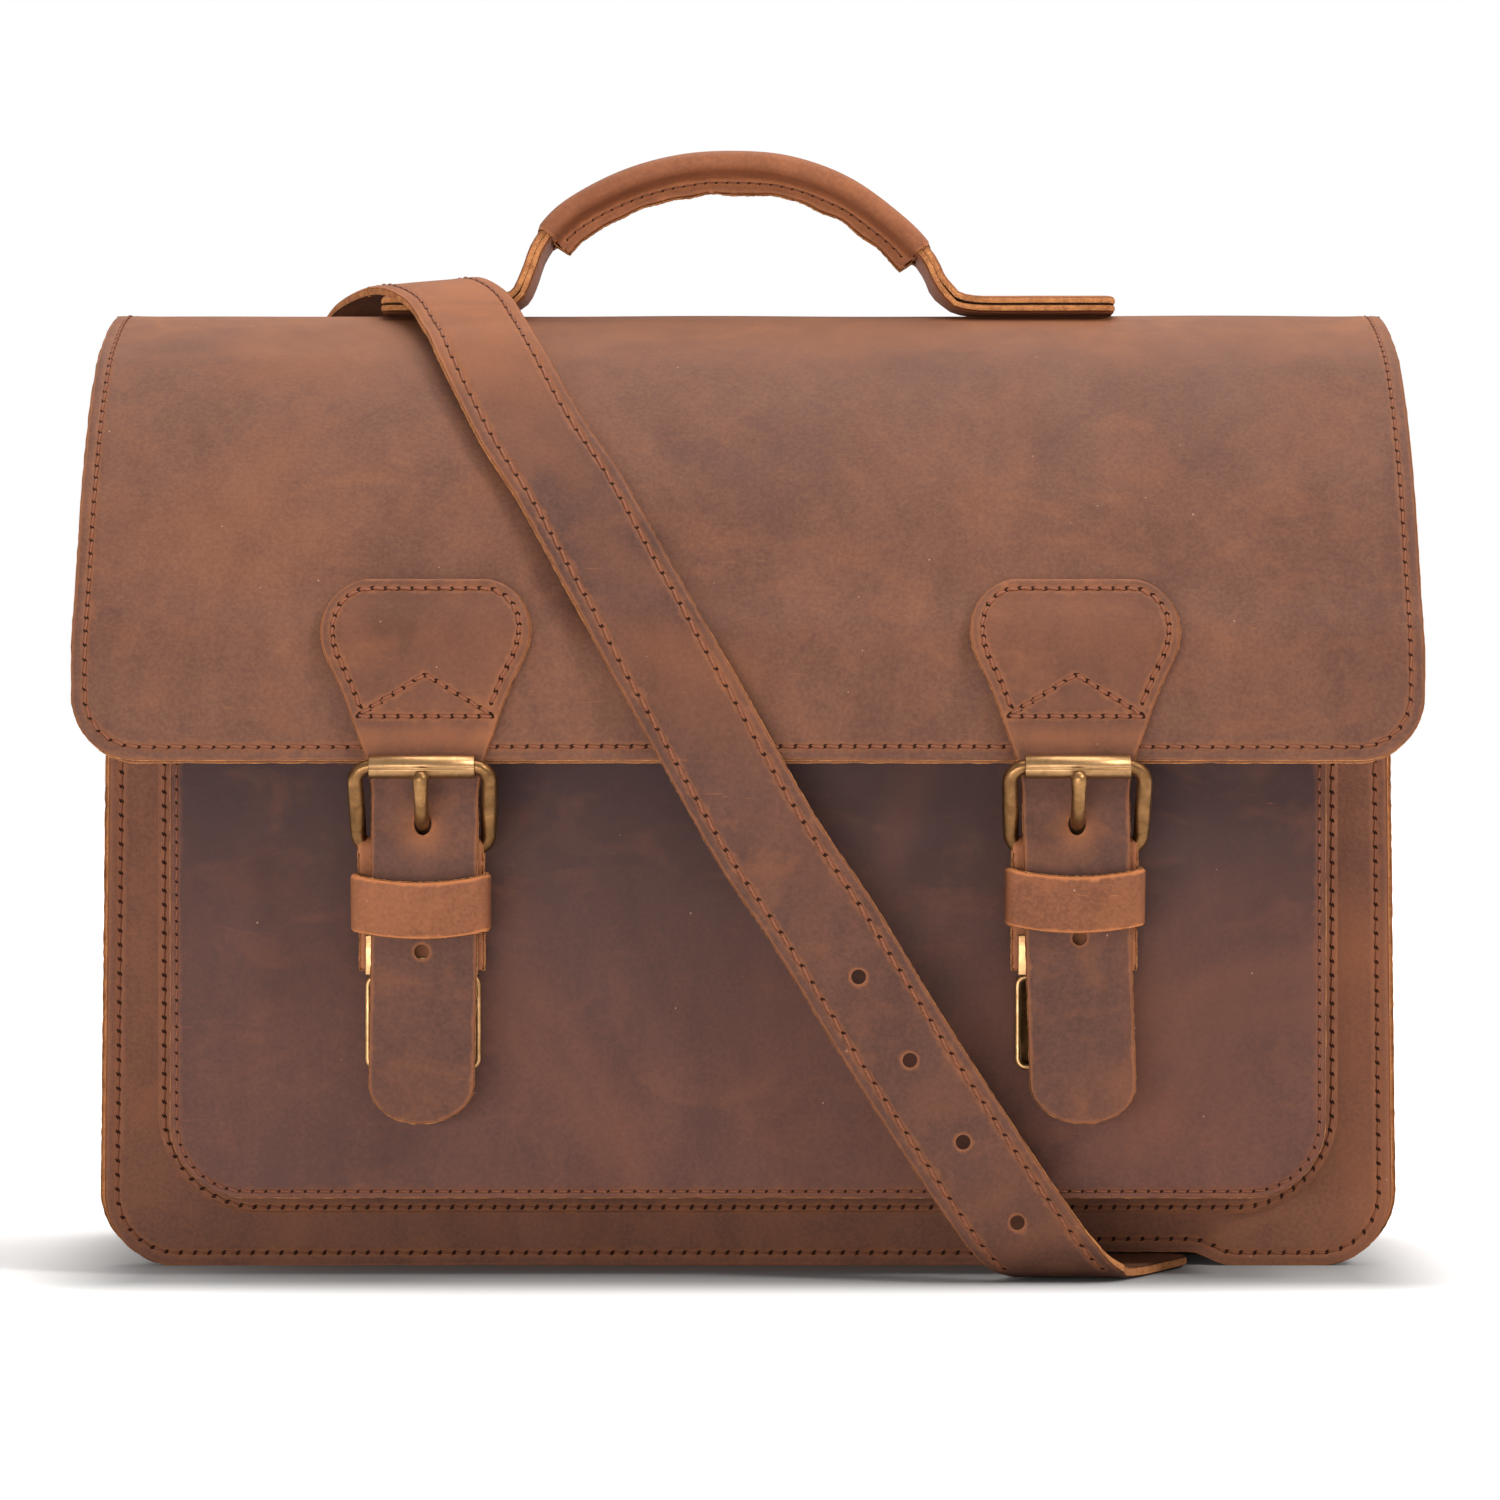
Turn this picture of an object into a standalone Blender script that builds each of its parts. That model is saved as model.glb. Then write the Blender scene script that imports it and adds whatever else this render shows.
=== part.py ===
"""Leather satchel bag with a hinged flap, a carrying handle, a shoulder strap and two buckled tuck locks.

Metres, +Z up, the front faces -Y. Every section of the bag is drawn in the bag's own frame, whose
Y zero is the ridge of the flap; one empty then moves the whole bag to the centre of its footprint.
"""

import math

import bmesh
import bpy
from mathutils import Matrix, Vector

# ---------------------------------------------------------------- driving dimensions (metres)
GAP = 0.0003                    # clearance between touching pieces
FOLD_GAP = 0.001                # trim of leather on each side of a hinge line
FOOTPRINT_SHIFT = Vector((0.0, 0.0285, 0.0))  # from the ridge frame to the footprint's centre

# main body
HALF_WIDTH_TOP = 0.1985
HALF_WIDTH_BOTTOM = 0.2012
BODY_HALF_DEPTH = 0.055
FRONT_TOP_Z = 0.262
BACK_TOP_Z = 0.283
BODY_CORNER = 0.021
PANEL = 0.003                   # wall leather
GUSSET = 0.002                  # gusset leather
GUSSET_INSET = 0.012
ARCH_HEIGHT = 0.0050            # lift of the lower edges over the shoulder strap
FRONT_ARCH = (0.122, 0.022, 0.038)          # centre, half flat, half foot along X
BACK_ARCH = (0.140, 0.0175, 0.030)

# front pocket
POCKET_HALF_WIDTH = 0.1755
POCKET_TOP_Z = 0.205
POCKET_BOTTOM_Z = 0.025
POCKET_FACE_Y = -0.100
POCKET_CORNER = 0.023
POCKET_PANEL = 0.0025
POCKET_FLANGE = 0.0105

# flap
FLAP_HALF_WIDTH = 0.2037
FLAP_CORNER = 0.0195
FLAP_LEATHER = 0.0022
FLAP_LINING = 0.0014
FLAP_EDGE_Z = 0.158
FLAP_SEAM_Z = 0.255             # lower edge of the flap's seam on the back wall
REAR_HINGE_Z = 0.2865

# closures
CLOSURE_X = 0.0985
CLOSURE_LEATHER = 0.003
CLOSURE_STRAP_HALF = 0.016
CLOSURE_HINGE_Z = 0.1635
TAIL_END_Z = 0.048
TAIL_HOLE_Z = 0.1025
ROLLER_BAR = (-0.1222, 0.156)   # (y, z)
HEEL_BAR = (-0.1115, 0.131)
WIRE_RADIUS = 0.002
ROLLER_RADIUS = 0.0035
BUCKLE_HALF = 0.021             # to the middle of the side wire
BAR_CLEARANCE = 0.0023          # inner radius of leather folded round a bar
TAB_LEATHER = 0.0016
TAB_HALF = 0.0175
KEEPER_LEATHER = 0.0018
KEEPER_Z = (0.107, 0.123)

# tuck locks
LOCK_HALF = 0.0175
LOCK_Z = (0.0644, 0.093)
LOCK_DEPTH = 0.004
LOCK_SHEET = 0.0012
CLIP_SHEET = 0.0008
CLIP_TOP_Z = 0.105

# handle
HANDLE_PIVOT_Z = 0.3037
HANDLE_LEATHER = 0.0022
HANDLE_TAB_LINE = ((0.0712, 0.3052), (0.079, 0.3038), (0.095, 0.3037), (0.1175, 0.3037))  # (x, z)
HANDLE_TAB_HALF = 0.0120
HANDLE_LEAN = math.radians(8.0)
GRIP_HALF_SPAN = 0.060

# shoulder strap and its rings
STRAP_LEATHER = 0.0032
STRAP_HALF = 0.016
RING_X = 0.140
RING_HALF = 0.0205
RING_HEIGHT = 0.024
RING_BAR = (0.0612, 0.203)      # (y, z) of the bar in its chape
CHAPE_HALF = 0.0155

UP = Vector((0.0, 0.0, 1.0))
ALONG_X = Vector((1.0, 0.0, 0.0))
ALONG_Y = Vector((0.0, 1.0, 0.0))
SIDES = (("left", -1.0), ("right", 1.0))

# ---------------------------------------------------------------- scene, materials
for old in list(bpy.data.objects):
    bpy.data.objects.remove(old, do_unlink=True)

parts = bpy.data.collections.new("satchel_bag")
cutters = bpy.data.collections.new("cutters")
bpy.context.scene.collection.children.link(parts)
bpy.context.scene.collection.children.link(cutters)

FINISHES = {
    "leather": ((0.165, 0.062, 0.030), 0.62, 0.0),
    "tan": ((0.30, 0.115, 0.045), 0.65, 0.0),
    "lining": ((0.20, 0.095, 0.050), 0.85, 0.0),
    "brass": ((0.42, 0.30, 0.13), 0.38, 1.0),
}


def material(name, finish):
    """One Principled material for one piece."""
    colour, roughness, metallic = FINISHES[finish]
    made = bpy.data.materials.new(name)
    made.use_nodes = True
    shader = made.node_tree.nodes["Principled BSDF"]
    shader.inputs["Base Color"].default_value = (*colour, 1.0)
    shader.inputs["Roughness"].default_value = roughness
    shader.inputs["Metallic"].default_value = metallic
    return made


origin = bpy.data.objects.new("bag_origin", None)
origin.location = FOOTPRINT_SHIFT
parts.objects.link(origin)


def place(name, data, finish, parent=origin, location=(0.0, 0.0, 0.0), collection=parts):
    """Link one object, give it its material and hang it on the bag."""
    made = bpy.data.objects.new(name, data)
    data.materials.append(material(name, finish))
    made.parent = parent
    made.location = location
    collection.objects.link(made)
    return made


# ---------------------------------------------------------------- paths
def smooth(points, pieces=4):
    """Catmull-Rom curve through the points, each stretch cut into pieces."""
    knots = [Vector(p) for p in points]
    knots = [2 * knots[0] - knots[1]] + knots + [2 * knots[-1] - knots[-2]]
    line = []
    for a, b, c, d in zip(knots, knots[1:], knots[2:], knots[3:]):
        for i in range(pieces):
            t = i / pieces
            line.append(0.5 * (2 * b + (c - a) * t + (2 * a - 5 * b + 4 * c - d) * t ** 2
                               + (3 * b - a - 3 * c + d) * t ** 3))
    line.append(knots[-2])
    return line


def section(points):
    """Points of the YZ plane as vectors."""
    return [Vector((0.0, y, z)) for y, z in points]


def lengths(line):
    """Distance of every point from the start of its line."""
    run = [0.0]
    for a, b in zip(line, line[1:]):
        run.append(run[-1] + (b - a).length)
    return run


def point_at(line, run, distance):
    """Point of a line at a distance from its start."""
    for i in range(1, len(line)):
        if distance <= run[i] or i == len(line) - 1:
            share = (distance - run[i - 1]) / (run[i] - run[i - 1])
            return line[i - 1].lerp(line[i], share)


def with_round_end(line, half, radius, steps=5):
    """Cut a line so that its far end can be rounded: the new line and its half widths."""
    run = lengths(line)
    total = run[-1]
    kept = [p for p, d in zip(line, run) if d < total - radius - 0.0005]
    halves = [half] * len(kept)
    top_angle = math.radians(90.0 if radius < half else 76.0)
    for i in range(steps + 1):
        angle = top_angle * i / steps
        kept.append(point_at(line, run, total - radius * (1.0 - math.sin(angle))))
        halves.append(half - radius + radius * math.cos(angle))
    return kept, halves


def tangents(line):
    """Direction of a line at each of its points."""
    ends = [line[0]] + list(line) + [line[-1]]
    return [(c - a).normalized() for a, c in zip(ends, ends[2:])]


def offset_line(line, distance):
    """A YZ line moved to its outer side."""
    return [p + t.cross(ALONG_X) * distance for p, t in zip(line, tangents(line))]


# ---------------------------------------------------------------- pieces
def sheet(name, rows, thickness, finish, closed=False, parent=origin, location=(0.0, 0.0, 0.0)):
    """Leather or metal sheet: rows of points joined into a surface, thickened along its normals.

    A negative thickness grows the sheet to the other side.
    """
    shift = Vector(location)
    build = bmesh.new()
    grid = [[build.verts.new(p - shift) for p in row] for row in rows]
    columns = len(rows[0]) if closed else len(rows[0]) - 1
    for low, high in zip(grid, grid[1:]):
        for i in range(columns):
            j = (i + 1) % len(low)
            build.faces.new((low[i], high[i], high[j], low[j]))
    mesh = bpy.data.meshes.new(name)
    build.to_mesh(mesh)
    build.free()
    made = place(name, mesh, finish, parent, location)
    solid = made.modifiers.new("thickness", "SOLIDIFY")
    solid.thickness = abs(thickness)
    solid.offset = 1.0 if thickness > 0 else -1.0
    solid.use_even_offset = True
    return made


def band(name, line, halves, thickness, finish, across=ALONG_X, centre=0.0, **options):
    """Flat strip along a line, with the same direction across it everywhere."""
    if not isinstance(halves, list):
        halves = [halves] * len(line)
    shift = across * centre
    rows = [[p + shift - across * w, p + shift + across * w] for p, w in zip(line, halves)]
    return sheet(name, rows, thickness, finish, **options)


def skew_band(name, line, halves, thickness, finish, **options):
    """Strap of a given half width that crosses the bag at an angle and bends about rulings along X."""
    if not isinstance(halves, list):
        halves = [halves] * len(line)
    rows = []
    for p, t, w in zip(line, tangents(line), halves):
        across = t.cross(ALONG_X).normalized().cross(t)
        ruling = ALONG_X * (w / across.x)
        rows.append([p - ruling, p + ruling])
    return sheet(name, rows, thickness, finish, **options)


def wire(name, points, finish, radius=WIRE_RADIUS, cyclic=True, sides=2, parent=origin,
         location=(0.0, 0.0, 0.0)):
    """Round wire along a chain of points."""
    curve = bpy.data.curves.new(name, "CURVE")
    curve.dimensions = "3D"
    curve.bevel_depth = radius
    curve.bevel_resolution = sides
    curve.use_fill_caps = True
    spline = curve.splines.new("POLY")
    spline.points.add(len(points) - 1)
    shift = Vector(location)
    for knot, p in zip(spline.points, points):
        knot.co = (*(Vector(p) - shift), 1.0)
    spline.use_cyclic_u = cyclic
    return place(name, curve, finish, parent, location)


def slab(name, outlines, y_front, y_back, finish, parent=origin):
    """Plate of the XZ plane between two depths; further outlines are holes."""
    curve = bpy.data.curves.new(name, "CURVE")
    curve.dimensions = "2D"
    curve.fill_mode = "BOTH"
    curve.extrude = abs(y_back - y_front) / 2
    for outline in outlines:
        spline = curve.splines.new("POLY")
        spline.points.add(len(outline) - 1)
        for knot, (x, z) in zip(spline.points, outline):
            knot.co = (x, z, 0.0, 1.0)
        spline.use_cyclic_u = True
    made = place(name, curve, finish, parent, (0.0, (y_front + y_back) / 2, 0.0))
    made.rotation_euler = (math.pi / 2, 0.0, 0.0)
    return made


def block(name, low, high, finish, parent=origin, collection=parts):
    """Axis-aligned block between two corners, its size held in its mesh."""
    low, high = Vector(low), Vector(high)
    build = bmesh.new()
    bmesh.ops.create_cube(build, size=1.0)
    bmesh.ops.scale(build, vec=high - low, verts=build.verts)
    mesh = bpy.data.meshes.new(name)
    build.to_mesh(mesh)
    build.free()
    return place(name, mesh, finish, parent, (low + high) / 2, collection)


def rod(name, centre, direction, radius, length, finish, sides=16, collection=parts):
    """Cylinder round a point, along a direction."""
    build = bmesh.new()
    bmesh.ops.create_cone(build, cap_ends=True, segments=sides, radius1=radius, radius2=radius,
                          depth=length)
    turn = UP.rotation_difference(Vector(direction)).to_matrix().to_4x4()
    bmesh.ops.transform(build, matrix=turn, verts=build.verts)
    mesh = bpy.data.meshes.new(name)
    build.to_mesh(mesh)
    build.free()
    return place(name, mesh, finish, origin, centre, collection)


def combine(target, tool, operation):
    """Cut a tool out of a piece, or join it on."""
    tool.hide_render = True
    tool.display_type = "WIRE"
    step = target.modifiers.new(tool.name, "BOOLEAN")
    step.operation = operation
    step.object = tool
    step.solver = "EXACT"


def round_tube(name, centre, inner, outer, half_length, finish, sides=20):
    """Tube along X: a closed profile turned about its axis."""
    mesh = bpy.data.meshes.new(name)
    corners = [(-half_length, inner, 0), (half_length, inner, 0), (half_length, outer, 0),
               (-half_length, outer, 0)]
    mesh.from_pydata(corners, [(0, 1), (1, 2), (2, 3), (3, 0)], [])
    made = place(name, mesh, finish, origin, centre)
    turn = made.modifiers.new("turn", "SCREW")
    turn.axis = "X"
    turn.steps = sides
    turn.render_steps = sides
    turn.use_merge_vertices = True
    turn.merge_threshold = 0.00001
    turn.use_normal_calculate = True
    turn.use_normal_flip = True
    return made


def rounded_rectangle(half_width, half_height, radius, steps=4):
    """Closed outline (u, v) round the origin."""
    outline = []
    for quarter in range(4):
        u_sign = (1, -1, -1, 1)[quarter]
        v_sign = (1, 1, -1, -1)[quarter]
        for i in range(steps + 1):
            angle = math.radians(90.0 * (quarter + i / steps))
            outline.append((u_sign * (half_width - radius) + radius * math.cos(angle),
                            v_sign * (half_height - radius) + radius * math.sin(angle)))
    return outline


# ---------------------------------------------------------------- bag body
def arch(x, place_and_size):
    """Lift of a wall's lower edge where the shoulder strap passes under it."""
    centre, flat, foot = place_and_size
    away = (abs(x - centre) - flat) / (foot - flat)
    share = min(max(away, 0.0), 1.0)
    return ARCH_HEIGHT * 0.5 * (1.0 + math.cos(math.pi * share))


def body_edge(top_z, lift, inset=0.0):
    """A wall's edge from its top left corner round to its top right: points (x, z)."""
    stations = [(-HALF_WIDTH_TOP, top_z, -1.0, 0.0)]
    bend_x = HALF_WIDTH_BOTTOM - BODY_CORNER
    steps = 5
    for i in range(steps + 1):
        angle = math.radians(180.0 + 90.0 * i / steps)
        nx, nz = math.cos(angle), math.sin(angle)
        stations.append((-bend_x + BODY_CORNER * nx, BODY_CORNER * (1 + nz), nx, nz))
    bottom_steps = 60
    for i in range(27, bottom_steps):
        x = -bend_x + 2 * bend_x * i / bottom_steps
        stations.append((x, arch(x, lift), 0.0, -1.0))
    for i in range(steps + 1):
        angle = math.radians(270.0 + 90.0 * i / steps)
        nx, nz = math.cos(angle), math.sin(angle)
        stations.append((bend_x + BODY_CORNER * nx, BODY_CORNER * (1 + nz), nx, nz))
    stations.append((HALF_WIDTH_TOP, top_z, 1.0, 0.0))
    return [(x - nx * inset, z - nz * inset) for x, z, nx, nz in stations]


def pocket_edge(inset=0.0):
    """The pocket's edge from its top left corner round to its top right: points (x, z)."""
    stations = [(-POCKET_HALF_WIDTH, POCKET_TOP_Z, -1.0, 0.0)]
    bend_x = POCKET_HALF_WIDTH - POCKET_CORNER
    bend_z = POCKET_BOTTOM_Z + POCKET_CORNER
    steps = 6
    for start, side in ((180.0, -1.0), (270.0, 1.0)):
        for i in range(steps + 1):
            angle = math.radians(start + 90.0 * i / steps)
            nx, nz = math.cos(angle), math.sin(angle)
            stations.append((side * bend_x + POCKET_CORNER * nx, bend_z + POCKET_CORNER * nz, nx, nz))
    stations.append((POCKET_HALF_WIDTH, POCKET_TOP_Z, 1.0, 0.0))
    return [(x - nx * inset, z - nz * inset) for x, z, nx, nz in stations]


def make_body():
    front = BODY_HALF_DEPTH
    slab("front_panel", [body_edge(FRONT_TOP_Z, FRONT_ARCH)], -front, -front + PANEL, "leather")
    slab("back_panel", [body_edge(BACK_TOP_Z, BACK_ARCH)], front - PANEL, front, "leather")
    reach = front - PANEL - GAP
    profile = ((0.0008, -reach, FRONT_ARCH), (GUSSET_INSET, -reach, FRONT_ARCH),
               (GUSSET_INSET, reach, BACK_ARCH), (0.0008, reach, BACK_ARCH))
    columns = []
    for inset, y, lift in profile:
        columns.append([Vector((x, y, z)) for x, z in body_edge(FRONT_TOP_Z - 0.002, lift, inset)])
    sheet("main_gusset", list(zip(*columns)), -GUSSET, "leather")


def lock_slots():
    """Slots for the prongs of both tuck locks, as outlines of the XZ plane."""
    slots = []
    for _, side in SIDES:
        for px in (-0.011, 0.011):
            x = side * CLOSURE_X + px
            z = sum(LOCK_Z) / 2
            slots.append([(x - 0.001, z - 0.0023), (x + 0.001, z - 0.0023),
                          (x + 0.001, z + 0.0023), (x - 0.001, z + 0.0023)])
    return slots


def make_pocket():
    back_of_panel = POCKET_FACE_Y + POCKET_PANEL
    slab("pocket_panel", [pocket_edge()] + lock_slots(), POCKET_FACE_Y, back_of_panel, "leather")
    profile = ((0.006, back_of_panel + GAP), (0.001, back_of_panel + GAP),
               (0.001, -BODY_HALF_DEPTH - GAP - GUSSET),
               (-POCKET_FLANGE, -BODY_HALF_DEPTH - GAP - GUSSET))
    columns = [[Vector((x, y, z)) for x, z in pocket_edge(inset)] for inset, y in profile]
    sheet("pocket_gusset", list(zip(*columns)), GUSSET, "tan")


# ---------------------------------------------------------------- flap
TOP_SECTION = smooth(section([(0.0575, 0.2868), (0.0530, 0.2935), (0.0390, 0.2985), (0.020, 0.3006),
                              (0.0, 0.3010), (-0.021, 0.2960), (-0.0405, 0.2886),
                              (-0.0545, 0.2813)]), 2)
FRONT_SECTION = smooth(section([(-0.0545, 0.2813), (-0.0695, 0.2678), (-0.0820, 0.2525),
                                (-0.0930, 0.2358), (-0.1050, 0.2110), (-0.1130, 0.1965),
                                (-0.1150, 0.1860), (-0.1150, FLAP_EDGE_Z)]), 2)


def trimmed(line, from_start, from_end):
    """A line without its first and last stretch."""
    run = lengths(line)
    total = run[-1]
    middle = [p for p, d in zip(line, run) if from_start < d < total - from_end]
    return [point_at(line, run, from_start)] + middle + [point_at(line, run, total - from_end)]


def make_flap():
    top = trimmed(TOP_SECTION, 0.0, FOLD_GAP)
    band("flap_top_leather", top, FLAP_HALF_WIDTH, -FLAP_LEATHER, "leather")
    inner = offset_line(trimmed(top, 0.0, FOLD_GAP), -FLAP_LEATHER - GAP)
    band("flap_top_lining", inner, FLAP_HALF_WIDTH - 0.0004, -FLAP_LINING, "lining")
    line = trimmed(FRONT_SECTION, FOLD_GAP, 0.0)
    rounded, halves = with_round_end(line, FLAP_HALF_WIDTH, FLAP_CORNER, 6)
    band("flap_front_leather", rounded, halves, -FLAP_LEATHER, "leather")
    inner = offset_line(trimmed(line, FOLD_GAP, 0.0), -FLAP_LEATHER - GAP)
    rounded, halves = with_round_end(inner, FLAP_HALF_WIDTH - 0.0004, FLAP_CORNER, 6)
    band("flap_front_lining", rounded, halves, -FLAP_LINING, "lining")
    seam_y = BODY_HALF_DEPTH + GAP
    seam = section([(seam_y, FLAP_SEAM_Z), (seam_y, TOP_SECTION[0].z - 2 * FOLD_GAP)])
    band("flap_seam_leather", seam, FLAP_HALF_WIDTH - 0.004, FLAP_LEATHER, "leather")


# ---------------------------------------------------------------- leather folded round a bar
def folded(name, bar, fold_up, inner_a, inner_b, end_a, end_b, half, leather, finish, centre,
           parent=origin):
    """Leather that comes along plane inner_a, folds round a bar and goes back along inner_b.

    fold_up is 1 where the fold is at the top and the layers hang down, and -1 the other way.
    """
    bar_y, bar_z = bar
    out_a = -1.0 if inner_a < inner_b else 1.0
    bend_z = bar_z - fold_up * 0.011
    line = [(inner_a, end_a), (inner_a, bend_z)]
    steps = 10
    for i in range(steps + 1):
        angle = math.radians(-30.0 + 240.0 * i / steps)
        line.append((bar_y + out_a * BAR_CLEARANCE * math.cos(angle),
                     bar_z + fold_up * BAR_CLEARANCE * math.sin(angle)))
    line += [(inner_b, bend_z), (inner_b, end_b)]
    grow = leather * out_a * fold_up
    return band(name, section(line), half, grow, finish, centre=centre, parent=parent)


# ---------------------------------------------------------------- closures
HEAD_HALVES = ((0.2120, 0.0175), (0.2105, 0.0235), (0.2065, 0.0288), (0.2010, 0.0311),
               (0.1940, 0.0316), (0.1860, 0.0295), (0.1780, 0.0262), (0.1710, 0.0232),
               (CLOSURE_HINGE_Z + GAP, 0.0205))
STRAP_BACK = section([(-0.1153, CLOSURE_HINGE_Z - GAP), (-0.1153, 0.1500), (-0.1156, 0.1420),
                      (-0.1160, 0.1340), (-0.1159, 0.1280), (-0.1148, 0.1205), (-0.1130, 0.1125),
                      (-0.1115, 0.1060), (-0.1111, 0.1000), (-0.1110, 0.0800),
                      (-0.1110, TAIL_END_Z)])


def height_on(line, z):
    """Point of a falling YZ line at a height."""
    for a, b in zip(line, line[1:]):
        if a.z >= z >= b.z:
            return a.lerp(b, (a.z - z) / (a.z - b.z))


def strap_half(z):
    """Half width of a closure strap, which narrows below the flap's edge."""
    share = min(max((z - 0.150) / (CLOSURE_HINGE_Z - 0.150), 0.0), 1.0)
    return CLOSURE_STRAP_HALF + 0.0041 * share


def buckle_loop(bar_a, bar_b, half, corner=0.004):
    """Wire loop of a rectangular buckle or ring between two bars (y, z)."""
    low, high = Vector((0.0, *bar_a)), Vector((0.0, *bar_b))
    middle = (low + high) / 2
    upward = (high - low) / 2
    reach = upward.length
    upward.normalize()
    outline = rounded_rectangle(half, reach, corner, 3)
    return [middle + ALONG_X * u + upward * v for u, v in outline]


def make_closure(label, side):
    x = side * CLOSURE_X
    shift = Vector((x, 0.0, 0.0))
    outer = offset_line(FRONT_SECTION, 0.0008)
    line = [height_on(outer, z) for z, _ in HEAD_HALVES]
    halves = [w for _, w in HEAD_HALVES]
    band("closure_head_" + label, line, halves, CLOSURE_LEATHER, "leather", centre=x)

    line, halves = with_round_end(STRAP_BACK, CLOSURE_STRAP_HALF, CLOSURE_STRAP_HALF, 6)
    halves = [min(w, strap_half(p.z)) if p.z < 0.1 else strap_half(p.z)
              for p, w in zip(line, halves)]
    strap = band("closure_strap_" + label, line, halves, CLOSURE_LEATHER, "leather", centre=x)
    slot = block("prong_slot_" + label, (x - 0.0019, -0.1220, 0.1324), (x + 0.0019, -0.1130, 0.1404),
                 "leather", collection=cutters)
    combine(strap, slot, "DIFFERENCE")
    hole = rod("tail_hole_" + label, (x, -0.1125, TAIL_HOLE_Z), ALONG_Y, 0.00225, 0.009, "leather",
               12, cutters)
    combine(strap, hole, "DIFFERENCE")

    tab = folded("closure_tab_" + label, HEEL_BAR, 1.0, -0.1078, -0.1075, 0.0945, 0.0945, TAB_HALF,
                 TAB_LEATHER, "tan", x)
    gate = block("tab_gate_" + label, (x - 0.0022, -0.1180, 0.1240), (x + 0.0022, -0.1040, 0.1400),
                 "leather", collection=cutters)
    combine(tab, gate, "DIFFERENCE")

    loop = [p + shift for p in buckle_loop(HEEL_BAR, ROLLER_BAR, BUCKLE_HALF)]
    wire("buckle_frame_" + label, loop, "brass", location=(x, *HEEL_BAR))
    round_tube("buckle_roller_" + label, (x, *ROLLER_BAR), WIRE_RADIUS + GAP, ROLLER_RADIUS, 0.0158,
               "brass")
    make_prong(label, shift)
    make_keeper(label, shift)
    make_lock(label, x)


def make_prong(label, shift):
    """Prong: hooked round the heel bar, out through the strap and up to the roller."""
    bar_y, bar_z = HEEL_BAR
    reach = WIRE_RADIUS + GAP + 0.0014
    points = []
    for i in range(8):
        angle = math.radians(-60.0 - 210.0 * i / 7)
        points.append(Vector((0.0, bar_y - reach * math.cos(angle), bar_z + reach * math.sin(angle))))
    rise = smooth(section([(bar_y - 0.0020, bar_z + 0.0038), (bar_y - 0.0062, bar_z + 0.0056),
                           (bar_y - 0.0100, bar_z + 0.0084), (bar_y - 0.0134, bar_z + 0.0130),
                           (ROLLER_BAR[0] - 0.0052, bar_z + 0.0190),
                           (ROLLER_BAR[0] - 0.0053, bar_z + 0.0275)]), 2)
    points = [p + shift for p in points + rise]
    wire("buckle_prong_" + label, points, "brass", 0.0014, False, 2, location=(shift.x, *HEEL_BAR))


def make_keeper(label, shift):
    """Loose leather loop round the strap and the tab, wider at its upper front."""
    low, high = KEEPER_Z
    half_x = 0.0190
    back = -0.1055
    bottom = []
    top = []
    for u, v in rounded_rectangle(half_x, 0.0060, 0.0025, 3):
        forward = 0.5 - v / 0.0120
        bottom.append(shift + Vector((u, back - forward * 0.0108, low)))
        top.append(shift + Vector((u, back - forward * 0.0142, high)))
    sheet("keeper_" + label, [bottom, top], -KEEPER_LEATHER, "tan", closed=True)


def make_lock(label, x):
    """Tuck lock: riveted base with its catch on the pocket, and the clip on the closure's tab."""
    low, high = LOCK_Z
    face = POCKET_FACE_Y - GAP
    front = face - LOCK_DEPTH
    middle = (low + high) / 2
    base = block("lock_base_" + label, (x - LOCK_HALF, front, low), (x + LOCK_HALF, face, high), "brass")
    tray = block("lock_tray_" + label, (x - LOCK_HALF + 0.0016, front - 0.001, low + 0.0016),
                 (x + LOCK_HALF - 0.0016, face - LOCK_SHEET, high - 0.0016), "brass",
                 collection=cutters)
    combine(base, tray, "DIFFERENCE")
    inside = POCKET_FACE_Y + POCKET_PANEL
    for number, px in enumerate((-0.011, 0.011)):
        prong = block(f"lock_tang_{label}_{number}", (x + px - 0.0006, face - 0.0006, middle - 0.0019),
                      (x + px + 0.0006, inside + 0.0022, middle + 0.0019), "brass", collection=cutters)
        combine(base, prong, "UNION")
    nub = block("lock_nub_" + label, (x - 0.0020, front - 0.0018, 0.0825),
                (x + 0.0020, face - 0.0006, 0.0855), "brass", collection=cutters)
    combine(base, nub, "UNION")

    holes = [slot for slot in lock_slots() if abs(slot[0][0] - x) < LOCK_HALF]
    outline = [(x + u, middle + v) for u, v in rounded_rectangle(LOCK_HALF - 0.001, 0.012, 0.002, 2)]
    slab("lock_backing_" + label, [outline] + holes, inside + GAP, inside + GAP + 0.0008, "brass")
    block("lock_slider_" + label, (x - 0.005, front - 0.0001, 0.0715),
          (x + 0.005, face - LOCK_SHEET - GAP, 0.0755), "brass")

    clamp_front = -0.1097
    clamp_back = -0.1056
    line = section([(clamp_front, CLIP_TOP_Z), (clamp_front, 0.0938), (clamp_back, 0.0938),
                    (clamp_back, CLIP_TOP_Z)])
    clip = band("lock_clip_" + label, line, LOCK_HALF + 0.0004, CLIP_SHEET, "brass", centre=x)
    tongue = block("clip_tongue_" + label, (x - 0.008, clamp_back + 0.0001, 0.0720),
                   (x + 0.008, clamp_back + CLIP_SHEET - 0.0001, 0.0936), "brass", collection=cutters)
    combine(clip, tongue, "UNION")
    window = block("clip_window_" + label, (x - 0.003, clamp_back - 0.0004, 0.0755),
                   (x + 0.003, clamp_back + 0.0015, 0.0875), "brass", collection=cutters)
    combine(clip, window, "DIFFERENCE")


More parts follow.
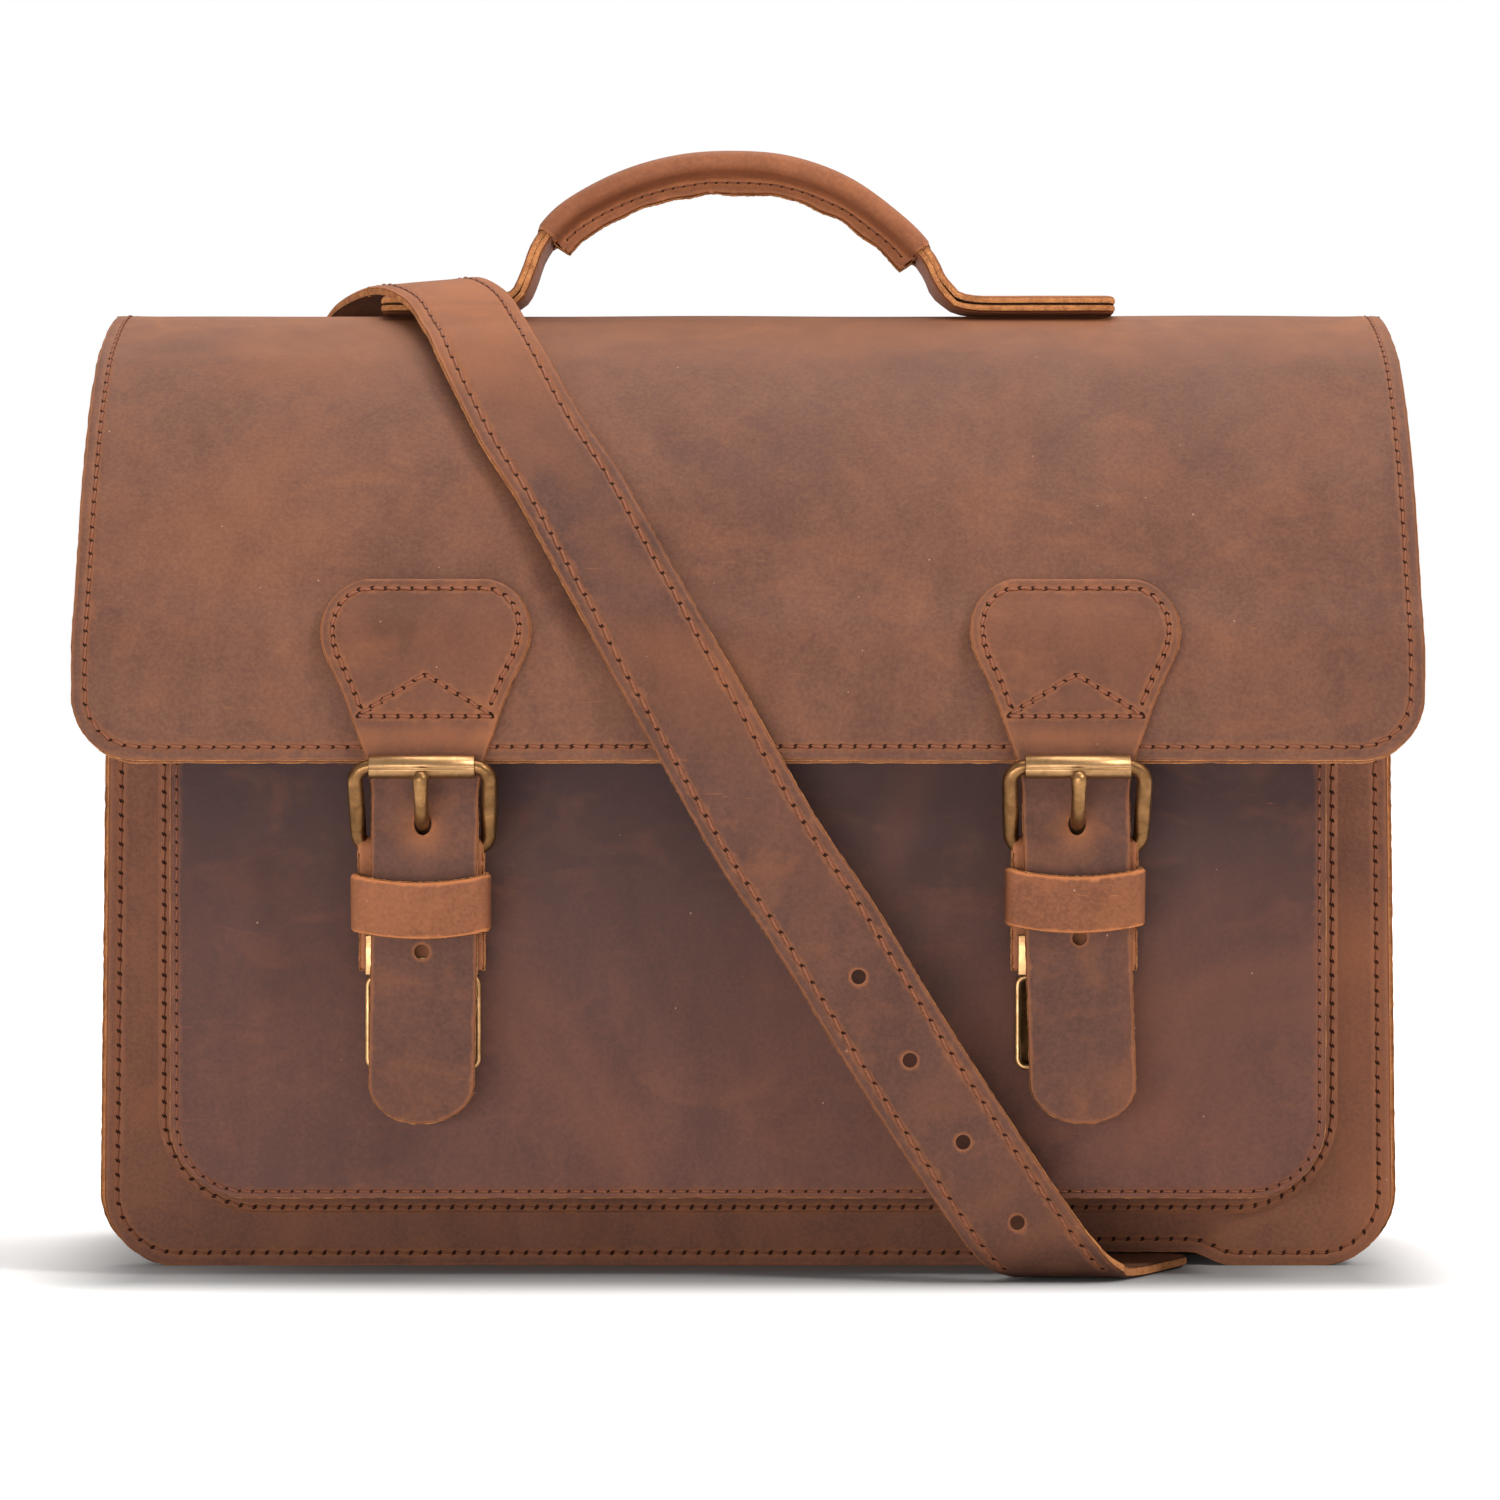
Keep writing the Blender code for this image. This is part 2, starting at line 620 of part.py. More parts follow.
# ---------------------------------------------------------------- handle
HANDLE_HALF_LINE = ((0.0685, 0.3078), (0.0655, 0.3140), (0.0610, 0.3220), (0.0520, 0.3310),
                    (0.0360, 0.3402), (0.0180, 0.3455), (0.0, 0.3470))


def make_handle():
    pivot = bpy.data.objects.new("handle_pivot", None)
    pivot.parent = origin
    pivot.location = (0.0, 0.0, HANDLE_PIVOT_Z)
    pivot.rotation_euler = (-HANDLE_LEAN, 0.0, 0.0)
    parts.objects.link(pivot)

    left = [(-x, z) for x, z in HANDLE_HALF_LINE]
    arch_line = left + list(reversed(HANDLE_HALF_LINE[:-1]))
    middle = smooth([Vector((x, 0.0, z - HANDLE_PIVOT_Z)) for x, z in arch_line], 2)
    normals = [Vector((-t.z, 0.0, t.x)) for t in tangents(middle)]
    halves = [0.009 if abs(p.x) < GRIP_HALF_SPAN + 0.002 else 0.011 for p in middle]

    outer = [p + n * GAP / 2 for p, n in zip(middle, normals)]
    inner = [p - n * GAP / 2 for p, n in zip(middle, normals)]
    band("handle_strap_outer", outer, halves, HANDLE_LEATHER, "leather", ALONG_Y, parent=pivot)
    band("handle_strap_inner", inner, halves, -HANDLE_LEATHER, "leather", ALONG_Y, parent=pivot)

    above = HANDLE_LEATHER + 1.5 * GAP
    span = [i for i, p in enumerate(middle) if abs(p.x) < GRIP_HALF_SPAN]
    core = [middle[i] + normals[i] * above for i in span[1:-1]]
    band("handle_core", core, 0.0058, 0.0022, "lining", ALONG_Y, parent=pivot)

    rows = []
    for i in span:
        centre = middle[i] + normals[i] * 0.0011
        loop = rounded_rectangle(0.0115, 0.0062, 0.0050, 3)
        rows.append([centre + ALONG_Y * u + normals[i] * v for u, v in loop])
    sheet("handle_grip_wrap", rows, 0.0014, "leather", closed=True, parent=pivot)

    for label, side in SIDES:
        line = smooth([Vector((side * x, 0.0, z)) for x, z in HANDLE_TAB_LINE], 3)
        rounded, halves = with_round_end(line, HANDLE_TAB_HALF, 0.0035, 3)
        bend = [Vector((-t.z, 0.0, t.x)) for t in tangents(rounded)]
        facing = 1.0 if bend[0].z > 0 else -1.0
        upper = [p + n * facing * GAP / 2 for p, n in zip(rounded, bend)]
        lower = [p - n * facing * GAP / 2 for p, n in zip(rounded, bend)]
        band("handle_tab_upper_" + label, upper, halves, facing * HANDLE_LEATHER, "leather", ALONG_Y)
        band("handle_tab_lower_" + label, lower, halves, -facing * HANDLE_LEATHER, "leather", ALONG_Y)


# ---------------------------------------------------------------- shoulder strap
SPLIT_TOP = Vector((-0.0803, -0.0578, 0.2836))
TOP_ROUTE = [(-0.1338, 0.0584, 0.2868), (-0.1310, 0.0572, 0.2950), (-0.1240, 0.0430, 0.3050),
             (-0.1135, 0.0200, 0.3094), (-0.1020, 0.0, 0.3092), (-0.0925, -0.0220, 0.3028),
             (-0.0860, -0.0410, 0.2932), SPLIT_TOP]
FRONT_ROUTE = [SPLIT_TOP, (-0.0675, -0.0790, 0.2600), (-0.0537, -0.0935, 0.2386),
               (-0.0386, -0.1080, 0.2117), (-0.0290, -0.1158, 0.1950), (-0.0180, -0.1180, 0.1760),
               (0.0040, -0.1180, 0.1370), (0.0236, -0.1178, 0.1070), (0.0477, -0.1170, 0.0680),
               (0.0737, -0.1150, 0.0284), (0.0860, -0.1122, 0.0120), (0.0950, -0.1045, 0.0052),
               (0.1020, -0.0925, 0.0037), (0.1130, -0.0720, 0.0036), (0.1240, -0.0508, 0.0036)]
HOLE_HEIGHTS = (0.0934, 0.0680, 0.0430, 0.0190)


def make_ring(label, side):
    """Chape on the back wall, its strap ring, and the strap's end folded round the ring."""
    x = side * RING_X
    chape_low = 0.165
    folded("ring_chape_" + label, RING_BAR, 1.0, 0.0577, 0.0574, chape_low, chape_low, CHAPE_HALF,
           0.0018, "leather", x)
    if side < 0:
        far_bar = (RING_BAR[0], RING_BAR[1] + RING_HEIGHT)
    else:
        far_bar = (RING_BAR[0] + 0.0052, RING_BAR[1] - RING_HEIGHT + 0.0005)
    loop = [p + ALONG_X * x for p in buckle_loop(RING_BAR, far_bar, RING_HALF)]
    wire("strap_ring_" + label, loop, "brass", location=(x, *RING_BAR))
    if side < 0:
        folded("strap_end_left", far_bar, -1.0, 0.0595, 0.0592, 0.2520, 0.2530, STRAP_HALF,
               STRAP_LEATHER, "leather", x)
    else:
        folded("strap_end_right", far_bar, 1.0, 0.0641, 0.0638, 0.1520, 0.1520, STRAP_HALF,
               STRAP_LEATHER, "leather", x)


def make_shoulder_strap():
    top = trimmed(smooth(TOP_ROUTE, 3), 0.0, FOLD_GAP)
    skew_band("strap_top_run", top, STRAP_HALF, STRAP_LEATHER, "leather")

    front = trimmed(smooth(FRONT_ROUTE, 2), FOLD_GAP, 0.0)
    line, halves = with_round_end(front, STRAP_HALF, 0.0155, 4)
    run = skew_band("strap_front_run", line, halves, STRAP_LEATHER, "leather")
    for number, z in enumerate(HOLE_HEIGHTS):
        spot = height_on(smooth(FRONT_ROUTE, 2), z)
        punch = rod(f"strap_hole_{number}", spot + Vector((0.0, -STRAP_LEATHER / 2, 0.0)), ALONG_Y,
                    0.00225, 0.010, "leather", 10, cutters)
        combine(run, punch, "DIFFERENCE")

    up_back = [Vector((-RING_X, 0.0580, 0.2534)), Vector((-0.1340, 0.0580, REAR_HINGE_Z - GAP))]
    skew_band("strap_rear_left", up_back, STRAP_HALF, STRAP_LEATHER, "leather")

    down = smooth(section([(0.0600, 0.1515), (0.0565, 0.1400), (0.0560, 0.1200), (0.0560, 0.0600),
                           (0.0570, 0.0200), (0.0582, 0.0100), (0.0573, 0.0057), (0.0543, 0.0038),
                           (0.0490, 0.0036), (0.0100, 0.0036)]), 3)
    band("strap_short_right", down, STRAP_HALF, -STRAP_LEATHER, "leather", centre=RING_X)
    make_strap_buckle()


def make_strap_buckle():
    """Buckle at the end of the short strap, lying flat under the bag."""
    height = 0.0024
    loop = [(RING_X + u, -0.0075 + v, height) for u, v in rounded_rectangle(0.0210, 0.0145, 0.004, 3)]
    wire("strap_buckle_frame", loop, "brass")
    points = [(RING_X, 0.0048, height + 0.0038), (RING_X, -0.0060, height + 0.0044),
              (RING_X, -0.0160, height + 0.0042), (RING_X, -0.0225, height + 0.0038)]
    wire("strap_buckle_prong", points, "brass", 0.0014, False, 2)


# ---------------------------------------------------------------- assembly
make_body()
make_pocket()
make_flap()
for side_label, side_sign in SIDES:
    make_closure(side_label, side_sign)
    make_ring(side_label, side_sign)
make_handle()
make_shoulder_strap()
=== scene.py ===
"""Looks of the leather satchel: sewn leather, brass fittings, suede inside, plain white studio."""
import math

import bmesh
import bpy
import numpy as np
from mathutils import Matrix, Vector
from mathutils.kdtree import KDTree


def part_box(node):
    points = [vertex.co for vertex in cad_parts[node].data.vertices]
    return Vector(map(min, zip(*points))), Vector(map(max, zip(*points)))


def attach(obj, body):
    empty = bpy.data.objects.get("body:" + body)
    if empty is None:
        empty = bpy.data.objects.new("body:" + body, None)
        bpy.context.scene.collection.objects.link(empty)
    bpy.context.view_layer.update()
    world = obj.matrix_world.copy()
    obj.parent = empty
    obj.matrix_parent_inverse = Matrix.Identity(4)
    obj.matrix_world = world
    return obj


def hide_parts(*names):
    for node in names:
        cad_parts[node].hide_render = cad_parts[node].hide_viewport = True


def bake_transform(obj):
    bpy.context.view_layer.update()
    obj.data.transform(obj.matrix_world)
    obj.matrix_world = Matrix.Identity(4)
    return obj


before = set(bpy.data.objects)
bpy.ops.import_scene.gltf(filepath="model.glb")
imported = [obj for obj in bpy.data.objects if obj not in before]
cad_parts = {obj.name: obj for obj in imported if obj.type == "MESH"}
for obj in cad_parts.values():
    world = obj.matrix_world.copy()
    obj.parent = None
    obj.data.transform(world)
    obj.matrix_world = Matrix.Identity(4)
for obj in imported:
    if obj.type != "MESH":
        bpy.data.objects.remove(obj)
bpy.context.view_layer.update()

MM = 0.001
X_AXIS = np.array([1.0, 0.0, 0.0])
Y_AXIS = np.array([0.0, 1.0, 0.0])
Z_AXIS = np.array([0.0, 0.0, 1.0])
SIDES = (("left", -1.0), ("right", 1.0))


# ---------------------------------------------------------------- places read from the frame
def box(node):
    """Two corners of a node's box."""
    low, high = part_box(node)
    return np.array(low, float), np.array(high, float)


def middle(node):
    """Middle of a node's box."""
    low, high = box(node)
    return (low + high) / 2


RIDGE_Y = middle("handle_tab_upper_left")[1]
FLAP_HALF = box("flap_front_leather")[1][0]
FLAP_EDGE_Z = box("flap_front_leather")[0][2]
FLAP_SEAM_Z = box("flap_seam_leather")[0][2]
BACK_FACE = box("back_panel")[1][1] - RIDGE_Y
FRONT_FACE = box("front_panel")[0][1] - RIDGE_Y
POCKET_FACE = box("pocket_panel")[0][1] - RIDGE_Y
CLOSURE_X = middle("closure_strap_right")[0]
RING_X = middle("ring_chape_right")[0]
TAIL_END_Z = box("closure_strap_right")[0][2]


def bag(points):
    """Points (y, z) or (x, y, z) of the bag's own frame, whose Y zero is the ridge, in the row's frame."""
    made = np.array(points, float)
    if made.shape[1] == 2:
        made = np.column_stack([np.zeros(len(made)), made])
    return made + Y_AXIS * RIDGE_Y


# ---------------------------------------------------------------- lines
def spline(points, step=0.0008):
    """Catmull-Rom curve through the points, sampled at even steps."""
    knots = np.array(points, float)
    knots = np.vstack([2 * knots[0] - knots[1], knots, 2 * knots[-1] - knots[-2]])
    t = np.linspace(0, 1, 24, endpoint=False)[:, None]
    pieces = []
    for a, b, c, d in zip(knots, knots[1:], knots[2:], knots[3:]):
        pieces.append(0.5 * (2 * b + (c - a) * t + (2 * a - 5 * b + 4 * c - d) * t ** 2
                             + (3 * b - a - 3 * c + d) * t ** 3))
    line = np.vstack(pieces + [knots[-2:-1]])
    return resample(line, count=max(int(run_of(line)[-1] / step), 2))


def run_of(line):
    """Distance of every point of a line from its start."""
    return np.concatenate([[0.0], np.cumsum(np.linalg.norm(np.diff(line, axis=0), axis=1))])


def at(line, distances, run=None):
    """Points of a line at distances from its start, or at places on another scale of its points."""
    run = run_of(line) if run is None else run
    return np.column_stack([np.interp(distances, run, line[:, i]) for i in range(line.shape[1])])


def resample(line, count):
    """A line with its points at even distances."""
    return at(line, np.linspace(0, run_of(line)[-1], count))


def directions(line, closed=False):
    """Unit tangent at every point."""
    if closed:
        step = np.roll(line, -1, axis=0) - np.roll(line, 1, axis=0)
    else:
        step = np.gradient(line, axis=0)
    return unit(step)


def unit(vectors):
    """Vectors made one long."""
    return vectors / np.maximum(np.linalg.norm(vectors, axis=-1, keepdims=True), 1e-12)


def offset(line, distance):
    """A line moved to its outer side: the tangent turned about X."""
    normal = unit(np.cross(directions(line), X_AXIS))
    return line + normal * distance


def stations(length, fine_end=True, fine=0.9 * MM, coarse=3.0 * MM, zone=8.0 * MM):
    """Distances from 0 to length, dense at the start and, where it carries a seam, at the end."""
    marks = [0.0]
    while marks[-1] < length:
        d = marks[-1]
        near = d < zone or (fine_end and length - d < zone + coarse)
        marks.append(d + (fine if near else coarse))
    marks = np.array(marks)
    return marks * (length / marks[-1])


def rounded_rows(length, half, radius, steps=26):
    """Row distances and half widths of a strip whose far end has rounded corners."""
    body = stations(length - radius, fine_end=False)
    angles = np.linspace(0, math.pi / 2, steps)[1:]
    marks = np.concatenate([body, length - radius * (1 - np.sin(angles))])
    halves = np.concatenate([np.full(len(body), half), half - radius + radius * np.cos(angles)])
    return marks, halves


def across_marks(half, fine=0.9 * MM, coarse=3.0 * MM, zone=8.0 * MM):
    """Positions from -1 to 1 across a strip, dense near both edges."""
    return stations(2 * half, True, fine, coarse, zone) / half - 1.0


def wobble(points, size, seed):
    """Smooth, repeatable unevenness between -1 and 1: a sum of slow waves."""
    random = np.random.default_rng(seed)
    total = np.zeros(points.shape[:-1])
    for _ in range(7):
        wave = unit(random.normal(size=3)) * (2 * math.pi / (size * random.uniform(0.6, 1.7)))
        total += np.sin(points @ wave + random.uniform(0, 6.3))
    return total / 4.0


# ---------------------------------------------------------------- meshes
def linked(name, data):
    """New object of the scene."""
    made = bpy.data.objects.new(name, data)
    bpy.context.scene.collection.objects.link(made)
    return made


def new_object(name, vertices, faces, materials, face_materials=None, smooth=None, **attributes):
    """One mesh object from arrays; attributes hold one number, or one vector, for each vertex."""
    mesh = bpy.data.meshes.new(name)
    mesh.from_pydata(np.asarray(vertices).tolist(), [], faces)
    for one in materials:
        mesh.materials.append(one)
    if face_materials is not None:
        mesh.polygons.foreach_set("material_index", np.asarray(face_materials, dtype=np.int32))
    mesh.polygons.foreach_set("use_smooth", [True] * len(mesh.polygons) if smooth is None else smooth)
    rest = mesh.attributes.new("rest", "FLOAT_VECTOR", "POINT")
    rest.data.foreach_set("vector", np.asarray(vertices, dtype=np.float32).ravel())
    for key, values in attributes.items():
        layer = mesh.attributes.new(key, "FLOAT", "POINT")
        layer.data.foreach_set("value", np.asarray(values, dtype=np.float32))
    mesh.update()
    return linked(name, mesh)


def distances_to(points, targets):
    """Distance of every point from the nearest target."""
    tree = KDTree(len(targets))
    for i, target in enumerate(targets):
        tree.insert(target, i)
    tree.balance()
    return np.array([tree.find(p)[2] for p in points])


def quads(grid, closed_columns=False):
    """Faces of a grid of vertex numbers."""
    if closed_columns:
        grid = np.concatenate([grid, grid[:, :1]], axis=1)
    a, b = grid[:-1, :-1].ravel(), grid[:-1, 1:].ravel()
    c, d = grid[1:, 1:].ravel(), grid[1:, :-1].ravel()
    return np.column_stack([a, b, c, d])


def surface_normals(grid):
    """Unit normals of a grid of points."""
    return unit(np.cross(np.gradient(grid, axis=0), np.gradient(grid, axis=1)))


def boundary(shape, rows_open=(False, False)):
    """Index pairs round a grid, and which of them are real leather edges."""
    m, n = shape
    ring = [(i, 0, True) for i in range(m - 1)]
    ring += [(m - 1, j, not rows_open[1]) for j in range(n - 1)]
    ring += [(i, n - 1, True) for i in range(m - 1, 0, -1)]
    ring += [(0, j, not rows_open[0]) for j in range(n - 1, 0, -1)]
    return ring


FAR = 9.0                       # distance of what lies near no edge or seam
ROUNDING = 0.55 * MM            # how far the grain side drops at a cut edge
RIM = 1.1 * MM                  # width of that drop
SWELL, SWELL_AT, SWELL_WIDTH = 0.10 * MM, 1.9 * MM, 0.9 * MM
GROOVE, GROOVE_WIDTH = 0.35 * MM, 0.75 * MM
FLAT_BY_SEAM = 9 * MM           # the leather lies flatter this near to its seams
WAVES = 0.07                    # length of the leather's slow waves


def sheet(name, grid, thickness, looks, seams=(), rows_open=(False, False), flip=False, uneven=0.25 * MM,
          seed=1, wear=0.0, normals=None, holes=(), soft_back=0.6):
    """A sheet of leather: a grid of its grain side, thickened, with soft raw edges and sewn grooves.

    Its edge and seam attributes hold the distance from the nearest cut edge and seam in millimetres,
    and worn holds how far it is rubbed, with any painted light given in wear. holes are (centre, size) pairs,
    whose rims count as edges.
    """
    if normals is None:
        normals = surface_normals(grid) * (-1.0 if flip else 1.0)
    m, n = grid.shape[:2]
    ring = boundary((m, n), rows_open)
    flat = grid.reshape(-1, 3)
    real = np.array([grid[i, j] for i, j, is_edge in ring if is_edge])
    edge = distances_to(flat, real).reshape(m, n) if len(real) else np.full((m, n), 1.0)
    for centre, size in holes:
        away = np.linalg.norm((grid - centre) / size, axis=-1)
        edge = np.minimum(edge, np.clip(away - 1.0, 0, None) * min(size))
    seam = np.full((m, n), 1.0)
    if seams:
        seam = distances_to(flat, np.vstack([s.line for s in seams])).reshape(m, n)
    inside = np.clip(edge / RIM, 0, 1)
    drop = ROUNDING * (1 - np.sqrt(1 - (1 - inside) ** 2))
    swell = SWELL * np.exp(-((seam - SWELL_AT) / SWELL_WIDTH) ** 2)
    away_from_seam = np.clip(seam / FLAT_BY_SEAM, 0, 1) ** 2
    height = uneven * wobble(grid, WAVES, seed) * away_from_seam - drop + swell
    height = height - GROOVE * np.exp(-(seam / GROOVE_WIDTH) ** 2)
    outer = grid + normals * height[..., None]
    inner = grid - normals * (thickness - drop * soft_back)[..., None]
    index = np.arange(m * n).reshape(m, n)
    faces = [quads(index), quads(index + m * n)[:, ::-1]]
    if flip:
        faces = [f[:, ::-1] for f in faces]
    marks = [np.zeros(len(faces[0])), np.full(len(faces[1]), 2)]
    rim_at = tuple(np.array([(i, j) for i, j, _ in ring]).T)
    up, down = outer[rim_at], inner[rim_at]
    outward = unit(np.cross(directions(up, closed=True), normals[rim_at]))
    centre = flat.mean(axis=0)
    if np.sum((up - centre) * outward) < 0:
        outward = -outward
    random = np.random.default_rng(seed + 50)
    is_edge = np.array([e for _, _, e in ring], float)
    rings = [index[rim_at]]
    points = [outer.reshape(-1, 3), inner.reshape(-1, 3)]
    count = 2 * m * n
    for share in (0.28, 0.72):      # the cut edge is a little rough
        rough = (0.08 + 0.30 * random.random(len(up))) * MM * is_edge
        points.append(up + (down - up) * share + outward * rough[:, None])
        rings.append(count + np.arange(len(up)))
        count += len(up)
    rings.append(index[rim_at] + m * n)
    side = quads(np.stack(rings), closed_columns=True)
    if not flip:
        side = side[:, ::-1]
    faces.append(side)
    marks.append(np.ones(len(side)))
    joined = (is_edge + np.roll(is_edge, -1)) == 0
    smooth = np.concatenate([np.ones(2 * len(faces[0]), bool), ~np.tile(joined, 3)])
    rim = np.zeros(2 * len(up))
    wear = np.broadcast_to(wear, (m, n)).ravel()
    return new_object(name, np.vstack(points), np.vstack(faces).tolist(), looks, np.concatenate(marks),
                      smooth.tolist(), edge=np.concatenate([edge.ravel(), edge.ravel(), rim]) / MM,
                      seam=np.concatenate([seam.ravel(), np.full(m * n, FAR), rim + FAR]) / MM,
                      worn=np.concatenate([wear, wear, rim]))


class Seam:
    """A row of saddle stitches along a line that lies on the leather."""

    def __init__(self, line, normals, pitch=4.6 * MM, gauge=0.34 * MM, hole=1.4):
        self.length = run_of(line)[-1]
        self.line = resample(line, max(int(self.length / (0.6 * MM)), 2))
        self.normals = unit(resample(np.column_stack([line, normals]), len(self.line))[:, 3:])
        self.pitch = pitch
        self.gauge = gauge
        self.hole = hole


def edge_seam(grid, normals, inset, start=0.0, **options):
    """Seam at an even distance inside a grid's left, far and right edges."""
    m, n = grid.shape[:2]
    path = [(i, 0) for i in range(m - 1)]
    path += [(m - 1, j) for j in range(n - 1)]
    path += [(i, n - 1) for i in range(m - 1, 0, -1)]
    rim = np.array([grid[i, j] for i, j in path])
    normal = np.array([normals[i, j] for i, j in path])
    dense = resample(np.column_stack([rim, normal]), 900)
    rim, normal = dense[:, :3], unit(dense[:, 3:])
    tangent = directions(rim)
    inward = unit(np.cross(normal, tangent))
    centre = grid.reshape(-1, 3).mean(axis=0)
    if np.sum((centre - rim) * inward) < 0:
        inward = -inward
    line = rim + inward * inset
    keep = distances_to(line, rim) > inset * 0.93
    keep &= run_of(rim) >= start
    keep &= run_of(rim)[::-1] >= start
    return Seam(line[keep], normal[keep], **options)


# a stitch: shares of the way from hole to hole, with the thread's height and its share of the gauge
STITCH_SHARES = np.array([0.02, 0.16, 0.5, 0.84, 0.98])
STITCH_HEIGHTS = np.array([-0.55, -0.05, 0.18, -0.05, -0.55]) * MM
STITCH_WIDTHS = np.array([0.55, 0.95, 1.05, 0.95, 0.55])
STITCH_SLANT = 0.26 * MM
# size of the near-black discs of painted shade that stand for the awl holes
HOLE_LENGTH, HOLE_WIDTH = 0.74 * MM, 0.44 * MM
HOLE_RIM, HOLE_DEPTH = 0.12 * MM, 0.9 * MM


def sew(name, seams, settle):
    """Threads of several seams, and near-black discs of painted shade for their awl holes, as one object;
    settle places it on its body.
    """
    points, faces, marks = [], [], []
    count = 0
    for seam in seams:
        stitch_count = max(int(round(seam.length / seam.pitch)), 1)
        spots = np.linspace(0, len(seam.line) - 1, stitch_count + 1)
        whole = np.arange(len(seam.line))
        centre = at(seam.line, spots, whole)
        normal = unit(at(seam.normals, spots, whole))
        tangent = directions(centre)
        side = unit(np.cross(normal, tangent))
        for k in range(stitch_count):
            a = centre[k] + side[k] * STITCH_SLANT
            b = centre[k + 1] - side[k + 1] * STITCH_SLANT
            n = unit(normal[k] + normal[k + 1])
            width = STITCH_WIDTHS * seam.gauge
            axis = a + (b - a) * STITCH_SHARES[:, None] + n * STITCH_HEIGHTS[:, None]
            s = unit(np.cross(n, unit(b - a)))
            turn = np.arange(6) * math.pi / 3
            circle = np.cos(turn)[:, None] * s + np.sin(turn)[:, None] * n * 0.8
            thread = axis[:, None] + circle[None] * width[:, None, None]
            index = count + np.arange(30).reshape(5, 6)
            points.append(thread.reshape(-1, 3))
            thread_faces = quads(index, closed_columns=True)
            faces += thread_faces.tolist() + [index[0, ::-1].tolist(), index[-1].tolist()]
            marks += [0] * (len(thread_faces) + 2)
            count += 30
        # the awl holes: capped near-black discs of painted shade
        for k in range(stitch_count + 1):
            along = unit(tangent[k] * 0.72 + side[k] * 0.70)
            over = unit(np.cross(normal[k], along))
            turn = np.arange(8) * math.pi / 4
            oval = np.cos(turn)[:, None] * along * seam.hole * HOLE_LENGTH
            oval = oval + np.sin(turn)[:, None] * over * seam.hole * HOLE_WIDTH
            top = centre[k] + oval - normal[k] * HOLE_RIM
            base = centre[k] + oval * 0.4 - normal[k] * HOLE_DEPTH
            points += [top, base]
            upper = count + np.arange(8)
            lower = upper + 8
            faces += quads(np.stack([upper, lower]), closed_columns=True).tolist()
            faces += [lower[::-1].tolist(), upper.tolist()]
            marks += [1] * 10
            count += 16
    settle(new_object(name, np.vstack(points), faces, [THREAD, HOLE_SHADE], marks))


def tube(name, line, radii, look, sides=14, closed=False, up=Z_AXIS):
    """Round bar swept along a line, with a radius for every point."""
    line = np.asarray(line, float)
    radii = np.broadcast_to(radii, (len(line),))
    tangent = directions(line, closed)
    side = unit(np.cross(np.broadcast_to(up, tangent.shape) + 1e-6, tangent))
    over = np.cross(tangent, side)
    turn = np.arange(sides) * 2 * math.pi / sides
    rings = (line[:, None] + np.cos(turn)[None, :, None] * side[:, None] * radii[:, None, None]
             + np.sin(turn)[None, :, None] * over[:, None] * radii[:, None, None])
    index = np.arange(len(line) * sides).reshape(len(line), sides)
    if closed:
        index = np.vstack([index, index[:1]])
    faces = quads(index, closed_columns=True).tolist()
    if not closed:
        faces += [index[0, ::-1].tolist(), index[-1].tolist()]
    return new_object(name, rings.reshape(-1, 3), faces, [look])


